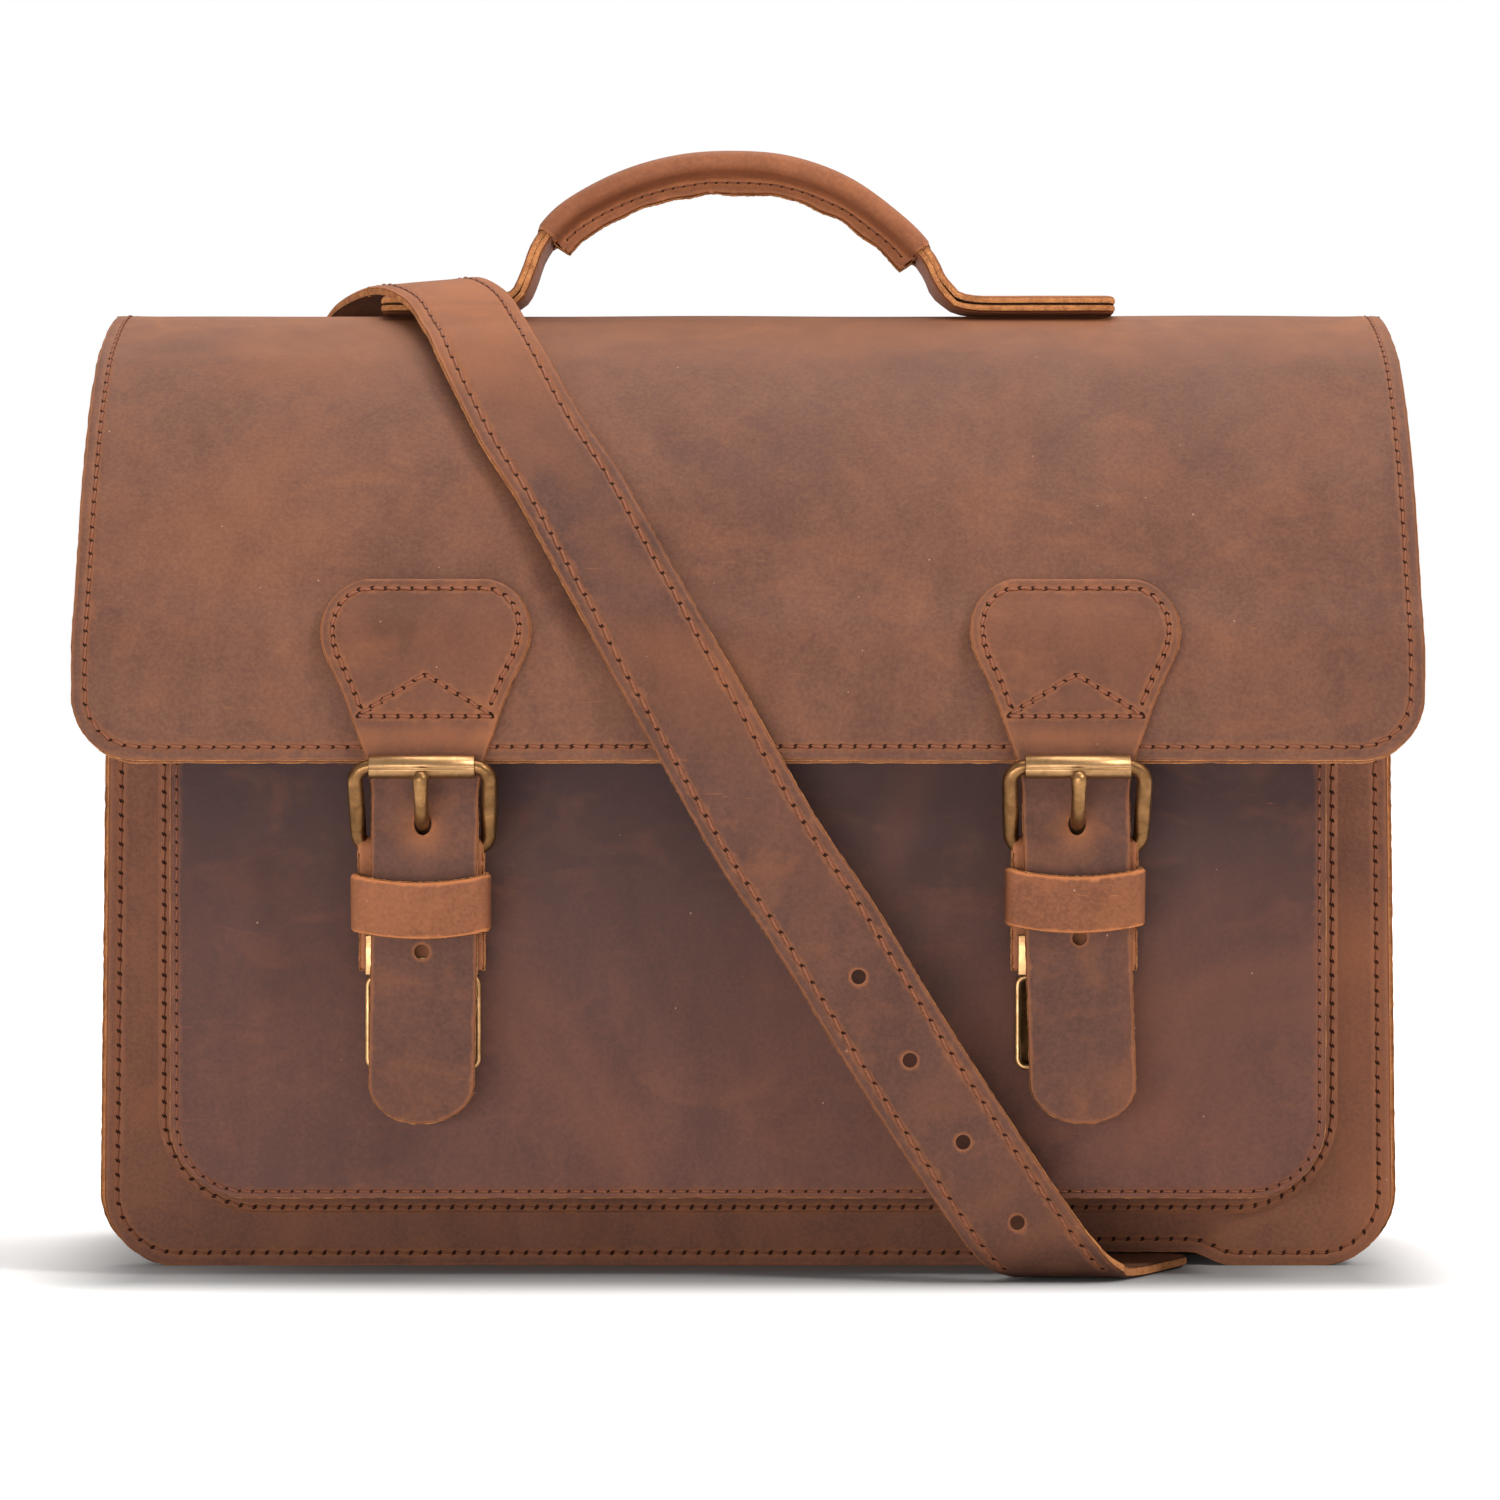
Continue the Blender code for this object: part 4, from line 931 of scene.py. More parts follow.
# hand work: sideways shifts of the strap, the buckle and the hole in the tail in millimetres, the height of
# that hole, and how much higher the keeper sits
CLOSURE_SHIFTS = {"left": (1.5, 0.8, 0.2), "right": (0.0, 0.3, 1.4)}
TAIL_HOLE_Z = {"left": 0.1002, "right": 0.1044}
KEEPER_LIFT = {"left": 0.0, "right": 1.8 * MM}


def closure_rows():
    """Row distances and half widths: a broad head, a taper to the flap's edge, a long tail."""
    turn = np.linspace(0, math.pi / 2, 20)
    tip = np.linspace(0, math.radians(86), 18)[1:]
    marks = np.concatenate([HEAD_ROUND * (1 - np.cos(turn)),
                            np.arange(HEAD_ROUND + 1.1 * MM, closure_length - TAIL_ROUND, 1.1 * MM),
                            closure_length - TAIL_ROUND * (1 - np.sin(tip))])
    body = np.interp(marks, np.array([18, 22, 27, 34, 41, 48.5, 54, 60, 66, 90, 170]) * MM,
                     np.array([31.6, 31.2, 29.5, 26.0, 23.2, 20.7, 18.6, 16.8, 16.0, 15.8, 15.8]) * MM)
    halves = np.where(marks <= HEAD_ROUND,
                      17.5 * MM + 14.1 * MM * np.sqrt(1 - np.clip(1 - marks / HEAD_ROUND, 0, 1) ** 2), body)
    last = marks > closure_length - TAIL_ROUND
    reach = (marks - closure_length + TAIL_ROUND) / TAIL_ROUND
    return marks, np.where(last, halves * np.sqrt(1 - np.clip(reach, 0, 1) ** 2 * 0.995), halves)


def distance_at(line, z):
    """Distance along a falling line at a height."""
    return np.interp(-z, -line[:, 2], run_of(line))


closure_marks, closure_halves = closure_rows()
closure_columns = across_marks(20 * MM, 0.8 * MM, 1.2 * MM, 6 * MM)
head_rows = int(np.searchsorted(closure_marks, distance_at(closure_line, HEAD_SEAM_Z)))


def make_closure(label, side):
    """One closure: sewn head and strap, folded tab, and its brass."""
    x = side * CLOSURE_X
    strap_x, buckle_x, hole_x = (x + shift * MM for shift in CLOSURE_SHIFTS[label])
    body = "closure_" + label
    ride_on = riding(body)
    grid = strip_grid(closure_line, closure_marks, closure_halves, closure_columns, strap_x)
    lean = np.clip((0.150 - grid[..., 2]) / 0.10, 0, 1)
    grid[..., 0] += (2.8 if side > 0 else -1.6) * MM * lean ** 1.3
    normals = surface_normals(grid)
    low, peak = (distance_at(closure_line, z) for z in (HEAD_SEAM_Z, CHEVRON_Z))
    options = {"pitch": 4.05 * MM, "gauge": 0.46 * MM, "hole": 1.7}
    seams = [edge_seam(grid[:head_rows][::-1], normals[:head_rows][::-1], 3.4 * MM, start=1.0 * MM,
                       **options),
             drawn_seam(closure_line, [(-0.0203, low), (0.0203, low)], strap_x, **options),
             drawn_seam(closure_line, [(-0.0195, low - 0.0006), (0.0, peak), (0.0195, low - 0.0006)],
                        strap_x, **dict(options, pitch=3.87 * MM))]
    tail = at(closure_line, [distance_at(closure_line, TAIL_HOLE_Z[label])])[0] + X_AXIS * hole_x
    gate = at(closure_line, [distance_at(closure_line, GATE_Z)])[0] + X_AXIS * buckle_x
    holes = [(tail, np.array([2.25, 4.0, 2.25]) * MM), (gate, np.array([2.6, 6.0, 3.4]) * MM)]
    bent = 0.45 * np.exp(-((grid[..., 2] - 0.1645) / 0.0045) ** 2)
    pulled = 0.55 * np.exp(-(np.linalg.norm(grid - gate + Z_AXIS * 2.0 * MM, axis=-1) / (6.5 * MM)) ** 2)
    head = 0.17 * np.clip((grid[..., 2] - 0.168) / 0.006, 0, 1)
    bend = bending()
    strap = sheet("closure_leather_" + label, grid, 3.0 * MM, STRAP_LEATHER, seams, normals=normals,
                  uneven=0.12 * MM, seed=31 + int(side), holes=holes, wear=bent + pulled + head)
    punch(strap, [cutter(tail, 2.25 * MM, 2.25 * MM, 9 * MM), cutter(gate, 2.6 * MM, 3.4 * MM, 9 * MM)])
    stand(strap, bend, "leather", "closure_head_" + label, "closure_strap_" + label)
    sew("closure_stitches_" + label, seams, bend)

    path = bag([(-0.1058, 0.0946), (-0.1058, 0.1080), (-0.1062, 0.1170)]
               + around(HEEL_BAR, 3.9 * MM, -25, 205) + [(-0.1128, 0.1170), (-0.1096, 0.1080),
                                                          (-0.1094, 0.0946)])
    line = spline(path, 0.6 * MM)
    tab_half = 18.8 * MM
    tab_grid = strip_grid(line, np.linspace(0, run_of(line)[-1], 90), np.full(90, tab_half),
                          across_marks(tab_half, 0.9 * MM, 1.5 * MM, 5 * MM), x)
    tab = sheet("closure_tab_leather_" + label, tab_grid, 1.5 * MM, TAN_LEATHER, seed=35,
                uneven=0.1 * MM, wear=0.1)
    punch(tab, [bag_box("cutter", (buckle_x - 0.0026, -0.1200, 0.1240),
                        (buckle_x + 0.0026, -0.1035, 0.1420), 0.4 * MM, EDGE)])
    stand(tab, ride_on, "tan_leather", "closure_tab_" + label)
    make_buckle(label, buckle_x, ride_on)
    make_keeper(label, x)
    make_lock(label, x, ride_on)


def wire_loop(low, high, half, corner, count=180, taper=0.0):
    """Closed loop with rounded corners between two points that are the middles of its bars."""
    reach = np.linalg.norm(high - low) / 2
    path = rounded_path(half, reach, corner)
    path[:, 0] *= 1.0 - taper * np.clip(-path[:, 1] / reach, 0, 1)
    loop = (low + high) / 2 + path[:, :1] * X_AXIS + path[:, 1:] * unit(high - low)
    return resample(np.vstack([loop, loop[:1]]), count)[:-1]


def make_buckle(label, x, ride_on):
    """Buckle frame, roller and prong."""
    heel, roller = bag([HEEL_BAR])[0], bag([ROLLER_BAR])[0]
    upward = unit(roller - heel)
    reach = np.linalg.norm(roller - heel) / 2
    loop = wire_loop(heel + X_AXIS * x, roller + X_AXIS * x, 20.2 * MM, 5.0 * MM, 220, 0.045)
    height = (loop - heel) @ upward / (2 * reach)
    radii = (2.05 + 0.45 * np.sin(np.clip(height, 0, 1) * math.pi) ** 0.5) * MM
    frame_bar = tube("buckle_frame_brass_" + label, loop, radii, DARK_BRASS, 16, True, up=Y_AXIS)
    stand(frame_bar, ride_on, "brass", "buckle_frame_" + label)

    turn = np.linspace(0, 2 * math.pi, 73)[:-1]
    outer = np.full(72, 3.6 * MM)
    outer[52:54] -= 0.35 * MM       # butt joint of the rolled sheet
    rows = []
    for along, shrink in ((-15.9, 1.2), (-15.9, 0.35), (-15.6, 0.0), (0.0, 0.0), (15.6, 0.0), (15.9, 0.35),
                          (15.9, 1.2)):
        radius = outer - shrink * MM
        rows.append(np.column_stack([np.full(72, x + along * MM), radius * np.sin(turn),
                                     radius * np.cos(turn)]) + roller)
    count = len(rows)
    index = np.arange(count * 72).reshape(count, 72)
    faces = quads(index, closed_columns=True)[:, ::-1].tolist()
    faces += [index[0].tolist(), index[-1, ::-1].tolist()]
    made = new_object("buckle_roller_brass_" + label, np.vstack(rows), faces, [BRIGHT_BRASS])
    stand(made, riding("roller_" + label), "brass", "buckle_roller_" + label)

    points = around(HEEL_BAR, 4.0 * MM, 300, 110, 10) + [
        (-0.1175, 0.1382), (-0.1210, 0.1398), (-0.1243, 0.1424), (-0.1268, 0.1458), (-0.1284, 0.1498),
        (-0.1289, 0.1526), (-0.1286, 0.1541)]
    line = spline(bag(points), 0.5 * MM) + X_AXIS * x
    share = np.linspace(0, 1, len(line))
    radii = np.interp(share, [0, 0.4, 0.55, 0.85, 0.96, 1.0], [1.5, 1.6, 2.2, 2.2, 2.5, 1.7]) * MM
    prong = tube("buckle_prong_brass_" + label, line, radii, PRONG_BRASS, 14, up=X_AXIS)
    stand(prong, riding("prong_" + label), "brass", "buckle_prong_" + label)


def make_keeper(label, x):
    """Loop of leather round the strap and its tail, which sags at the front."""
    half = 20.9 * MM
    grid = []
    for share in np.linspace(0, 1, 26):
        z = 0.1236 + (0.1066 - 0.1236) * share + KEEPER_LIFT[label]
        front = -0.1217 + 0.0032 * share
        back = -0.1036
        depth = (back - front) / 2
        loop = rounded_path(half, depth, 3.6 * MM, 9)
        loop = resample(np.vstack([loop, loop[:1]]), 181)
        start = int(np.argmin(np.hypot(loop[:, 0], loop[:, 1] - depth)))
        loop = np.vstack([loop[start:-1], loop[:start + 1]])
        sag_z = 2.5 * MM * (1 - (loop[:, 0] / half) ** 2) * np.clip(-loop[:, 1] / depth, 0, 1)
        bow = 0.5 * MM * math.sin(math.pi * share) * np.clip(-loop[:, 1] / depth, 0, 1)
        y = front + depth + loop[:, 1] - bow + RIDGE_Y
        grid.append(np.column_stack([loop[:, 0] + x, y, z - sag_z]))
    made = sheet("keeper_leather_" + label, np.array(grid), 1.8 * MM, KEEPER_LEATHER, seed=41,
                 uneven=0.15 * MM, wear=0.15)
    stand(made, riding("keeper_" + label), "tan_leather", "keeper_" + label)


def make_lock(label, x, ride_on):
    """Tuck lock: tray, tangs and stud on the pocket, backing plate, sliding catch, and the strap's clip."""
    face = POCKET_FACE - 0.3 * MM
    inside = POCKET_FACE + 2.5 * MM
    low, high, half = 0.0640, 0.0930, 17.6 * MM
    rings = []
    for inset, depth, corner in ((0.0, 0.0, 3.2), (0.0, 3.3, 3.2), (0.25, 3.8, 3.0), (0.8, 4.0, 2.6),
                                 (1.5, 3.9, 2.2), (1.9, 3.3, 1.9), (2.0, 1.3, 1.8)):
        path = rounded_path(half - inset * MM, (high - low) / 2 - inset * MM, corner * MM, 6)
        rings.append(np.column_stack([path[:, 0] + x, np.full(len(path), face - depth * MM + RIDGE_Y),
                                      path[:, 1] + (low + high) / 2]))
    count = len(rings[0])
    index = np.arange(len(rings) * count).reshape(len(rings), count)
    faces = quads(index, closed_columns=True)
    marks = [0] * len(faces) + [1, 0]
    marks[5 * count:6 * count] = [1] * count
    faces = faces.tolist() + [index[-1].tolist(), index[0, ::-1].tolist()]
    tray = new_object("lock_tray", np.vstack(rings), faces, [BRIGHT_BRASS, DARK_BRASS], marks)

    def blocks(*rows):
        """Small solids: x range from the closure's middle, y range, z range, edge radius in mm, look."""
        return [bag_box("bit", (x + x0, y0, z0), (x + x1, y1, z1), radius * MM, look)
                for (x0, x1), (y0, y1), (z0, z1), radius, look in rows]

    tang_y, tang_z = (face - 0.0012, inside + 0.0022), (0.0767, 0.0807)
    base = blocks(((-0.0117, -0.0103), tang_y, tang_z, 0.2, DARK_BRASS),
                  ((0.0103, 0.0117), tang_y, tang_z, 0.2, DARK_BRASS),
                  ((-0.0020, 0.0020), (face - 0.0055, face - 0.0012), (0.0825, 0.0855), 0.4, BRIGHT_BRASS))
    stand(merged("lock_base_brass_" + label, [tray] + base), ON_BAG, "brass", "lock_base_" + label)
    slider = bag_box("lock_slider_brass_" + label, (x - 0.005, face - 0.0041, 0.0715),
                     (x + 0.005, face - 0.0016, 0.0755), 0.5 * MM, BRIGHT_BRASS)
    stand(slider, riding("lock_catch_" + label), "brass", "lock_slider_" + label)
    backing = bag_box("lock_backing_brass_" + label, (x - 0.0165, inside + 0.0003, 0.0667),
                      (x + 0.0165, inside + 0.0011, 0.0907), 0.35 * MM, DARK_BRASS)
    stand(backing, ON_BAG, "brass", "lock_backing_" + label)
    plate_z, tongue_y = (0.0930, 0.1052), (-0.1055, -0.1049)
    clip = blocks(((-0.0170, -0.0060), (-0.1107, -0.1097), plate_z, 0.4, BRIGHT_BRASS),
                  ((0.0060, 0.0170), (-0.1107, -0.1097), plate_z, 0.4, BRIGHT_BRASS),
                  ((-0.0066, 0.0066), (-0.1106, -0.1098), (0.0931, 0.0985), 0.35, BRIGHT_BRASS),
                  ((-0.0170, 0.0170), (-0.1056, -0.1048), plate_z, 0.35, DARK_BRASS),
                  ((-0.0170, 0.0170), (-0.1105, -0.1049), (0.0930, 0.0938), 0.35, BRIGHT_BRASS),
                  ((-0.0080, -0.0030), tongue_y, (0.0720, 0.0936), 0.25, DARK_BRASS),
                  ((0.0030, 0.0080), tongue_y, (0.0720, 0.0936), 0.25, DARK_BRASS),
                  ((-0.0030, 0.0030), tongue_y, (0.0720, 0.0755), 0.25, DARK_BRASS))
    stand(merged("lock_clip_brass_" + label, clip), ride_on, "brass", "lock_clip_" + label)


for side_label, side_sign in SIDES:
    make_closure(side_label, side_sign)


# ---------------------------------------------------------------- shoulder strap
STRAP_HALF = 16 * MM
STRAP_LEATHER_DEPTH = 3.2 * MM
LEFT_BAR = (0.0612, 0.227)
RIGHT_BAR = (0.0664, 0.1795)
inner_route = spline(bag([
    (-0.1386, 0.0580, 0.2620), (-0.1352, 0.0580, 0.2740), (-0.1316, 0.0584, 0.2868),
    (-0.1282, 0.0572, 0.2950), (-0.1206, 0.0430, 0.3050), (-0.1110, 0.0200, 0.3094),
    (-0.1020, 0.0, 0.3092), (-0.0925, -0.0220, 0.3028), (-0.0860, -0.0410, 0.2932),
    (-0.0803, -0.0578, 0.2836), (-0.0675, -0.0790, 0.2600), (-0.0537, -0.0935, 0.2386),
    (-0.0386, -0.1080, 0.2117), (-0.0290, -0.1158, 0.1950), (-0.0180, -0.1180, 0.1760),
    (0.0040, -0.1180, 0.1370), (0.0236, -0.1178, 0.1070), (0.0477, -0.1170, 0.0680),
    (0.0737, -0.1150, 0.0284), (0.0860, -0.1122, 0.0120), (0.0950, -0.1045, 0.0052),
    (0.1020, -0.0925, 0.0037), (0.1130, -0.0720, 0.0036), (0.1240, -0.0508, 0.0036)]))
outer_route = inner_route + unit(np.cross(directions(inner_route), X_AXIS)) * STRAP_LEATHER_DEPTH
fold_route = bag([(-RING_X, y, z) for y, z in [(0.0562, 0.2500), (0.0560, 0.2400)]
                  + around(LEFT_BAR, 5.5 * MM, 200, 340) + [(0.0640, 0.2400), (0.0634, 0.2500)]])
strap_line = spline(resample(np.vstack([fold_route, outer_route]), 260), 0.8 * MM)


def strap_grid(line, marks, halves, columns):
    """Strap that crosses the bag at an angle and bends about rulings along X."""
    tangent = tangent_at(line, np.clip(marks, 1 * MM, run_of(line)[-1] - 1 * MM))
    across = unit(np.cross(np.cross(tangent, X_AXIS), tangent))
    reach = (halves / across[:, 0])[:, None] * columns[None, :]
    return at(line, marks)[:, None, :] + X_AXIS * reach[..., None]


strap_total = run_of(strap_line)[-1]
tip = np.linspace(0, math.radians(84), 14)[1:]
strap_marks = np.concatenate([np.arange(0, strap_total - 15.5 * MM, 1.4 * MM),
                              strap_total - 15.5 * MM * (1 - np.sin(tip))])
strap_halves = np.concatenate([np.full(len(strap_marks) - 13, STRAP_HALF),
                               0.5 * MM + 15.5 * MM * np.cos(tip)])
strap_columns = across_marks(STRAP_HALF, 0.8 * MM, 1.2 * MM, 6 * MM)
whole_strap = strap_grid(strap_line, strap_marks, strap_halves, strap_columns)
over_ridge = np.exp(-((whole_strap[..., 1] - RIDGE_Y - 0.012) / 0.028) ** 2) * (whole_strap[..., 2] > 0.26)
whole_strap[..., 2] += 1.6 * MM * over_ridge * (strap_columns - 0.2)
strap_normals = surface_normals(whole_strap)
SEAM_COLUMN = 0.76
strap_middle = whole_strap[:, len(strap_columns) // 2]
# the strap is cut where one body's run ends: behind the ring's end, and on the ridge
RING_END = bag([(-0.1392, 0.0612, 0.2640)])[0]
first_cut = int(np.argmin(np.linalg.norm(strap_middle - RING_END, axis=1)))
second_cut = int(np.argmin(np.abs(strap_middle[:, 1] - RIDGE_Y - 0.0080) + (strap_middle[:, 2] < 0.30)))
rising = int(np.argmax((strap_middle[:, 2] > 0.245) & (strap_middle[:, 1] > RIDGE_Y + 0.0600)))
going_under = int(np.argmax((strap_middle[:, 1] < 0) & (strap_middle[:, 2] < 0.004)))
front_rows = np.where((strap_middle[:, 1] < 0) & (strap_middle[:, 2] > 0.006))[0]
strap_holes = [strap_middle[front_rows[np.argmin(np.abs(strap_middle[front_rows, 2] - z))]]
               for z in (0.0934, 0.0680, 0.0430, 0.0190)]
STRAP_SEAM = {"pitch": 5.9 * MM, "gauge": 0.47 * MM, "hole": 1.5}

for part, rows, opened, settle, nodes in (
        ("ring_end", slice(None, first_cut + 1), (False, True),
         bending(), ("strap_end_left",)),
        ("shoulder", slice(first_cut, second_cut + 1), (True, True),
         bending(),
         ("strap_rear_left", "strap_top_run")),
        ("front", slice(second_cut, None), (True, False), FRONT_FOLD, ("strap_front_run",))):
    grid, normals = whole_strap[rows], strap_normals[rows]
    sewn = slice(rising if part == "ring_end" else 0,
                 going_under - second_cut if part == "front" else None)
    seams = [Seam(*grid_line(grid[sewn], normals[sewn], strap_columns, value), **STRAP_SEAM)
             for value in (-SEAM_COLUMN, SEAM_COLUMN)]
    punched = [(p, np.array([2.3, 6.0, 2.3]) * MM) for p in strap_holes] if part == "front" else []
    # lighter over the ridge: partly wear, partly painted light on the part that faces up
    rubbed = 0.65 * np.clip((grid[..., 2] - 0.268) / 0.03, 0, 1)
    leather = sheet("strap_leather_" + part, grid, STRAP_LEATHER_DEPTH, STRAP_LEATHER, seams, opened,
                    normals=normals, seed=51, uneven=0.2 * MM, holes=punched, wear=rubbed)
    if punched:
        punch(leather, [cutter(p, 2.25 * MM, 2.25 * MM, 7 * MM) for p in strap_holes])
    stand(leather, settle, "leather", *nodes)
    sew("strap_stitches_" + part, seams, settle)

short_line = spline(resample(bag([(RING_X, y, z) for y, z in [
    (0.0100, 0.0004), (0.0300, 0.0004), (0.0490, 0.0005), (0.0555, 0.0012), (0.0600, 0.0042),
    (0.0613, 0.0105), (0.0604, 0.0200), (0.0593, 0.0600), (0.0592, 0.1200), (0.0602, 0.1400),
    (0.0640, 0.1540), (0.0676, 0.1640)] + around(RIGHT_BAR, 5.5 * MM, -10, 190)
    + [(0.0605, 0.1640), (0.0606, 0.1530)]]), 200), 0.8 * MM)
short_marks = np.arange(0, run_of(short_line)[-1], 1.4 * MM)
short_grid = strip_grid(short_line, short_marks, np.full(len(short_marks), STRAP_HALF), strap_columns)
short_normals = surface_normals(short_grid)
short_middle = short_grid[:, 0]
seam_rows = slice(int(np.argmax(short_middle[:, 2] > 0.006)), int(np.argmax(short_middle[:, 2] > 0.165)))
short_seams = [Seam(*grid_line(short_grid[seam_rows], short_normals[seam_rows], strap_columns, value),
                    **STRAP_SEAM) for value in (-SEAM_COLUMN, SEAM_COLUMN)]
SHORT_BEND = bending()
short = sheet("strap_leather_short", short_grid, STRAP_LEATHER_DEPTH, STRAP_LEATHER, short_seams, seed=57,
              uneven=0.2 * MM)
stand(short, SHORT_BEND, "leather", "strap_short_right", "strap_end_right")
sew("strap_stitches_short", short_seams, SHORT_BEND)


RING_BAR = (0.0612, 0.203)
for side_label, side_sign in SIDES:
    ring_x = side_sign * RING_X
    far_bar = LEFT_BAR if side_sign < 0 else RIGHT_BAR
    low, high = bag([(ring_x, *RING_BAR), (ring_x, *far_bar)])
    ring = tube("strap_ring_brass_" + side_label, wire_loop(low, high, 20.5 * MM, 4.5 * MM), 2.0 * MM,
                DARK_BRASS, 16, True, up=np.cross(X_AXIS, unit(high - low)))
    stand(ring, riding("ring_" + side_label), "brass", "strap_ring_" + side_label)
    chape_line = spline(resample(bag([(0.0593, 0.1650), (0.0593, 0.1800), (0.0598, 0.1900)]
                                     + around(RING_BAR, 4.1 * MM, -15, 195)
                                     + [(0.0560, 0.1900), (0.0556, 0.1800), (0.0556, 0.1650)]), 90))
    chape_marks = np.linspace(0, run_of(chape_line)[-1], 80)
    chape_grid = strip_grid(chape_line, chape_marks, np.full(80, 15.5 * MM),
                            across_marks(15.5 * MM, 0.8 * MM, 1.4 * MM, 5 * MM), ring_x)
    chape_rows = int(np.argmax(chape_grid[:, 0, 2] > 0.1930))
    chape_normals = surface_normals(chape_grid)
    seam = edge_seam(chape_grid[:chape_rows][::-1], chape_normals[:chape_rows][::-1], 3.2 * MM,
                     pitch=4.2 * MM, gauge=0.24 * MM)
    chape = sheet("ring_chape_leather_" + side_label, chape_grid, 1.8 * MM, STRAP_LEATHER, [seam],
                  seed=61, uneven=0.1 * MM)
    stand(chape, ON_BAG, "leather", "ring_chape_" + side_label)
    sew("ring_chape_stitches_" + side_label, [seam], ON_BAG)

flat_loop = wire_loop(*bag([(RING_X, -0.0220, 0.0024), (RING_X, 0.0070, 0.0024)]), 21 * MM, 4 * MM)
strap_buckle = tube("strap_buckle_frame_brass", flat_loop, 2.0 * MM, DARK_BRASS, 16, True)
stand(strap_buckle, ON_BAG, "brass", "strap_buckle_frame")
prong_line = spline(bag([(RING_X, 0.0048, 0.0062), (RING_X, -0.0060, 0.0068), (RING_X, -0.0160, 0.0066),
                         (RING_X, -0.0225, 0.0062)]))
strap_prong = tube("strap_buckle_prong_brass", prong_line, 1.4 * MM, DARK_BRASS, 12, up=X_AXIS)
stand(strap_prong, riding("strap_prong"), "brass", "strap_buckle_prong")


# ---------------------------------------------------------------- handle
PIVOT_Z = 0.3037
LEAN = math.radians(8.0)
half_handle = [(0.1175, 0.3037), (0.0950, 0.3037), (0.0790, 0.3038), (0.0712, 0.3052), (0.0685, 0.3078),
               (0.0658, 0.3142), (0.0624, 0.3232), (0.0538, 0.3335), (0.0368, 0.3431), (0.0182, 0.3488),
               (0.0, 0.3503)]
SIDESTEP = 4.5 * MM             # the arch leans to the left between its tabs


def right_drop(x):
    """Sag of the right shoulder of the handle, which has taken a set."""
    return np.interp(x, [0.012, 0.0368, 0.0538, 0.0624, 0.0658, 0.0685], [0, 2.0, 5.2, 5.0, 3.2, 0]) * MM


handle_points = [(-x - SIDESTEP * (x < 0.090), z) for x, z in half_handle]
handle_points += [(x - SIDESTEP * (x < 0.090), z - right_drop(x)) for x, z in half_handle[-2::-1]]
handle_line = spline([(x, 0.0, z) for x, z in handle_points], 0.8 * MM)
handle_out = unit(np.cross(directions(handle_line), Y_AXIS))
HANDLE_FLEX = bending()


def leaned(points):
    """Handle points, tilted back above the pivot, in the row's frame."""
    lift = np.clip(points[..., 2] - PIVOT_Z, 0, None)
    angle = LEAN * np.clip(lift / 0.006, 0, 1)
    made = points.copy()
    made[..., 1] = points[..., 1] * np.cos(angle) + lift * np.sin(angle) + RIDGE_Y
    made[..., 2] = np.where(lift > 0, PIVOT_Z + lift * np.cos(angle) - points[..., 1] * np.sin(angle),
                            points[..., 2])
    return made


handle_total = run_of(handle_line)[-1]
half_rows, half_widths = rounded_rows(handle_total / 2, 12 * MM, 3.5 * MM, steps=10)
handle_marks = np.concatenate([handle_total / 2 - half_rows[::-1], handle_total / 2 + half_rows[1:]])
handle_widths = np.concatenate([half_widths[::-1], half_widths[1:]])
reach = np.abs(at(handle_line, handle_marks)[:, 0] + SIDESTEP)
handle_widths = np.minimum(handle_widths, np.interp(reach, [0.0, 0.060, 0.066, 0.085], [9, 9, 10.5, 12]) * MM)
handle_columns = across_marks(12 * MM, 0.8 * MM, 1.3 * MM, 4 * MM)
middle_rows = at(handle_line, handle_marks)
out_rows = unit(at(handle_out, handle_marks, run_of(handle_line)))
for part, facing in (("outer", -1.0), ("inner", 1.0)):
    face = middle_rows - out_rows * facing * 2.35 * MM
    grid = leaned(face[:, None, :] + Y_AXIS * (handle_widths[:, None] * handle_columns[None, :])[..., None])
    upper = part == "outer"
    ends = np.abs(grid[:, 0, 0]) > 0.0760
    seams = []
    if upper:
        normals = surface_normals(grid)
        for rows in (slice(None, int(np.argmin(ends))), slice(len(ends) - int(np.argmin(ends[::-1])), None)):
            piece, turned = grid[rows], normals[rows]
            if piece[0, 0, 0] < 0:
                piece, turned = piece[::-1], turned[::-1]
            seams.append(edge_seam(piece, turned, 3.2 * MM, pitch=4.2 * MM, gauge=0.24 * MM))
    leather = sheet("handle_leather_" + part, grid, 2.3 * MM, TAN_LEATHER, seams, flip=not upper,
                    seed=71, uneven=0.05 * MM, soft_back=0.0)
    stand(leather, HANDLE_FLEX, "leather", "handle_strap_" + part,
          *(f"handle_tab_{'upper' if upper else 'lower'}_{label}" for label, _ in SIDES))
    if seams:
        sew("handle_stitches", seams, HANDLE_FLEX)

ON_HANDLE = riding("handle")
grip_rows = np.linspace(-0.0605, 0.0605, 150) - SIDESTEP
grip_marks = np.interp(grip_rows, handle_line[:, 0], run_of(handle_line))
grip_middle = at(handle_line, grip_marks)
grip_out = unit(np.cross(tangent_at(handle_line, grip_marks), Y_AXIS))
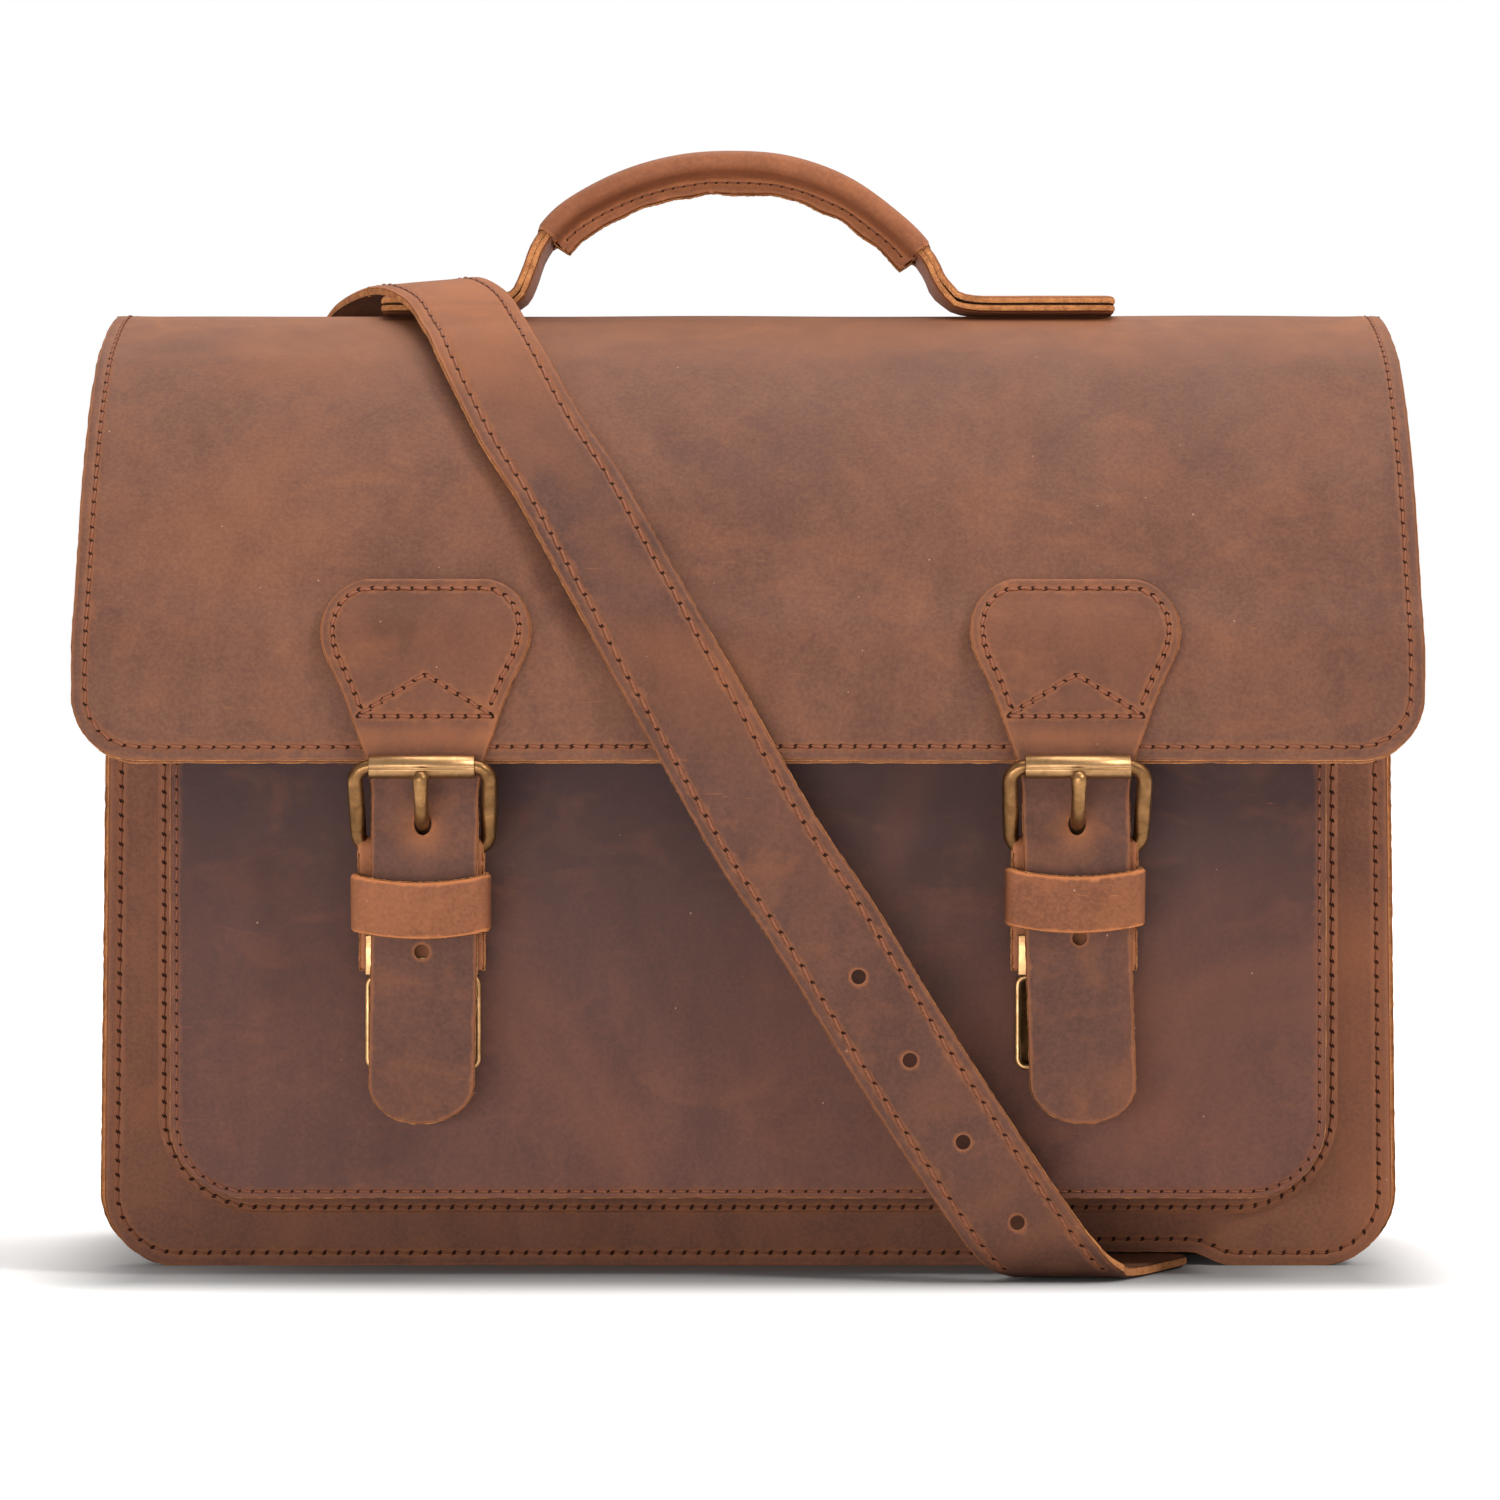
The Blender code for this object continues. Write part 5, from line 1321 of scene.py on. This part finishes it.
# section of the grip's wrap (across, out) in millimetres, sewn to a flange under the handle
SECTION = spline([(-1.3, -8.7), (-1.3, -6.5), (-1.4, -4.9), (-2.4, -3.9), (-5.5, -3.5), (-9.4, -3.1),
                  (-11.1, -1.9), (-11.6, 0.0), (-10.9, 2.0), (-8.2, 3.4), (-4.0, 4.0), (0.0, 4.15),
                  (4.0, 4.0), (8.2, 3.4), (10.9, 2.0), (11.6, 0.0), (11.1, -1.9), (9.4, -3.1), (5.5, -3.5),
                  (2.4, -3.9), (1.4, -4.9), (1.3, -6.5), (1.3, -8.7)], 0.8) * MM
ragged = 0.55 * MM * wobble(grip_middle, 0.014, 5) + 0.35 * MM * wobble(grip_middle, 0.035, 6)
low = np.clip(-(SECTION[:, 1] + 4.5 * MM) / (4.2 * MM), 0, 1)
rise = SECTION[None, :, 1] + ragged[:, None] * low[None, :]
grip_grid = leaned(grip_middle[:, None, :] + Y_AXIS * SECTION[None, :, :1]
                   + grip_out[:, None, :] * rise[..., None])
grip_normals = surface_normals(grip_grid)
if grip_normals[75, len(SECTION) // 2, 2] < 0:
    grip_normals = -grip_normals
on_flange = int(np.argmin(np.abs(SECTION[: len(SECTION) // 4, 1] + 5.6 * MM)))
grip_seams = [Seam(grip_grid[3:-3, column], grip_normals[3:-3, column], pitch=3.5 * MM, gauge=0.24 * MM,
                   hole=0.7) for column in (on_flange, len(SECTION) - 1 - on_flange)]
grip = sheet("handle_grip_leather", grip_grid, 1.25 * MM, TAN_LEATHER, grip_seams, seed=77,
             uneven=0.25 * MM, normals=grip_normals)
stand(grip, ON_HANDLE, "leather", "handle_grip_wrap")
sew("handle_grip_stitches", grip_seams, ON_HANDLE)
pad_columns = across_marks(7 * MM, 1 * MM, 2 * MM, 3 * MM) * 7 * MM
pad_grid = leaned(grip_middle[4:-4, None, :] + Y_AXIS * pad_columns[None, :, None]
                  + grip_out[4:-4, None, :] * 2.9 * MM)
pad = sheet("handle_pad", pad_grid, 0.4 * MM, LINING, seed=79, uneven=0.0)
stand(pad, ON_HANDLE, "lining", "handle_core")


# ---------------------------------------------------------------- studio
def paper_white():
    """White paper floor; away from the bag it glows a little, as a lit sweep does."""
    k = Nodes(bpy.data.materials.new("studio_white"))
    place = k.add("ShaderNodeTexCoord").outputs["Object"]
    away = k.vector("LENGTH", place, output="Value")
    tone = k.mix(k.span(k.noise(3.0, 2.0, 0.5, place), 0.3, 0.7), (0.93, 0.93, 0.93), (0.91, 0.91, 0.91))
    # contact shadow: distance from the rectangle that the bag stands on
    beyond = k.vector("SUBTRACT", k.vector("ABSOLUTE", place), (0.185, 0.075, 0.0))
    gap = k.vector("LENGTH", k.vector("MAXIMUM", beyond), output="Value")
    shadow = k.span(gap, -0.012, 0.048, 0.74, 0.0)
    shadow.node.interpolation_type = "SMOOTHSTEP"
    tone = k.mix(shadow, tone, (0.10, 0.10, 0.10))
    return k.finish(tone, 0.9, None, specular=0.1, glow=k.span(away, 0.30, 0.9, 0.0, 0.6))


bpy.ops.mesh.primitive_plane_add(size=30.0, location=(0.0, 0.0, 0.0))
floor = bpy.context.object
floor.name = "studio_floor"
floor.data.materials.append(paper_white())

world = bpy.data.worlds.new("studio")
bpy.context.scene.world = world
sky = Nodes(world)
facing = sky.vector("DOT_PRODUCT", sky.add("ShaderNodeTexCoord").outputs["Generated"], (0.15, 0.85, 0.45),
                    "Value")
sky.put(sky.tree.nodes["Background"], {"Color": (1.0, 1.0, 1.0),
                                       "Strength": sky.span(facing, -0.8, 0.6, 0.28, 1.0)})


def soft_light(name, place, aim, size, power, colour=(1.0, 1.0, 1.0)):
    """Soft box at a place, turned to what it lights."""
    data = bpy.data.lights.new(name, "AREA")
    data.shape = "RECTANGLE"
    data.size, data.size_y = size
    data.energy = power
    data.color = colour
    made = linked(name, data)
    made.location = place
    made.rotation_euler = (Vector(aim) - Vector(place)).to_track_quat("-Z", "Y").to_euler()


soft_light("key", (1.5, -1.1, 1.5), (0.0, 0.0, 0.15), (0.4, 0.4), 24.0, (1.0, 0.98, 0.95))
soft_light("top", (0.1, 0.1, 1.8), (0.0, 0.0, 0.15), (1.6, 1.0), 27.0, (1.0, 0.98, 0.95))
soft_light("low_fill", (-0.5, -1.5, 0.14), (0.0, 0.0, 0.04), (1.2, 0.2), 12.0)

camera_data = bpy.data.cameras.new("camera")
camera_data.lens = 126.4
camera_data.sensor_width = 36.0
camera = linked("camera", camera_data)
camera.location = (0.0006, -1.70 + RIDGE_Y, 0.161)
camera.rotation_euler = (math.radians(90.0), 0.0, 0.0)
bpy.context.scene.camera = camera
bpy.context.scene.view_settings.view_transform = "Standard"
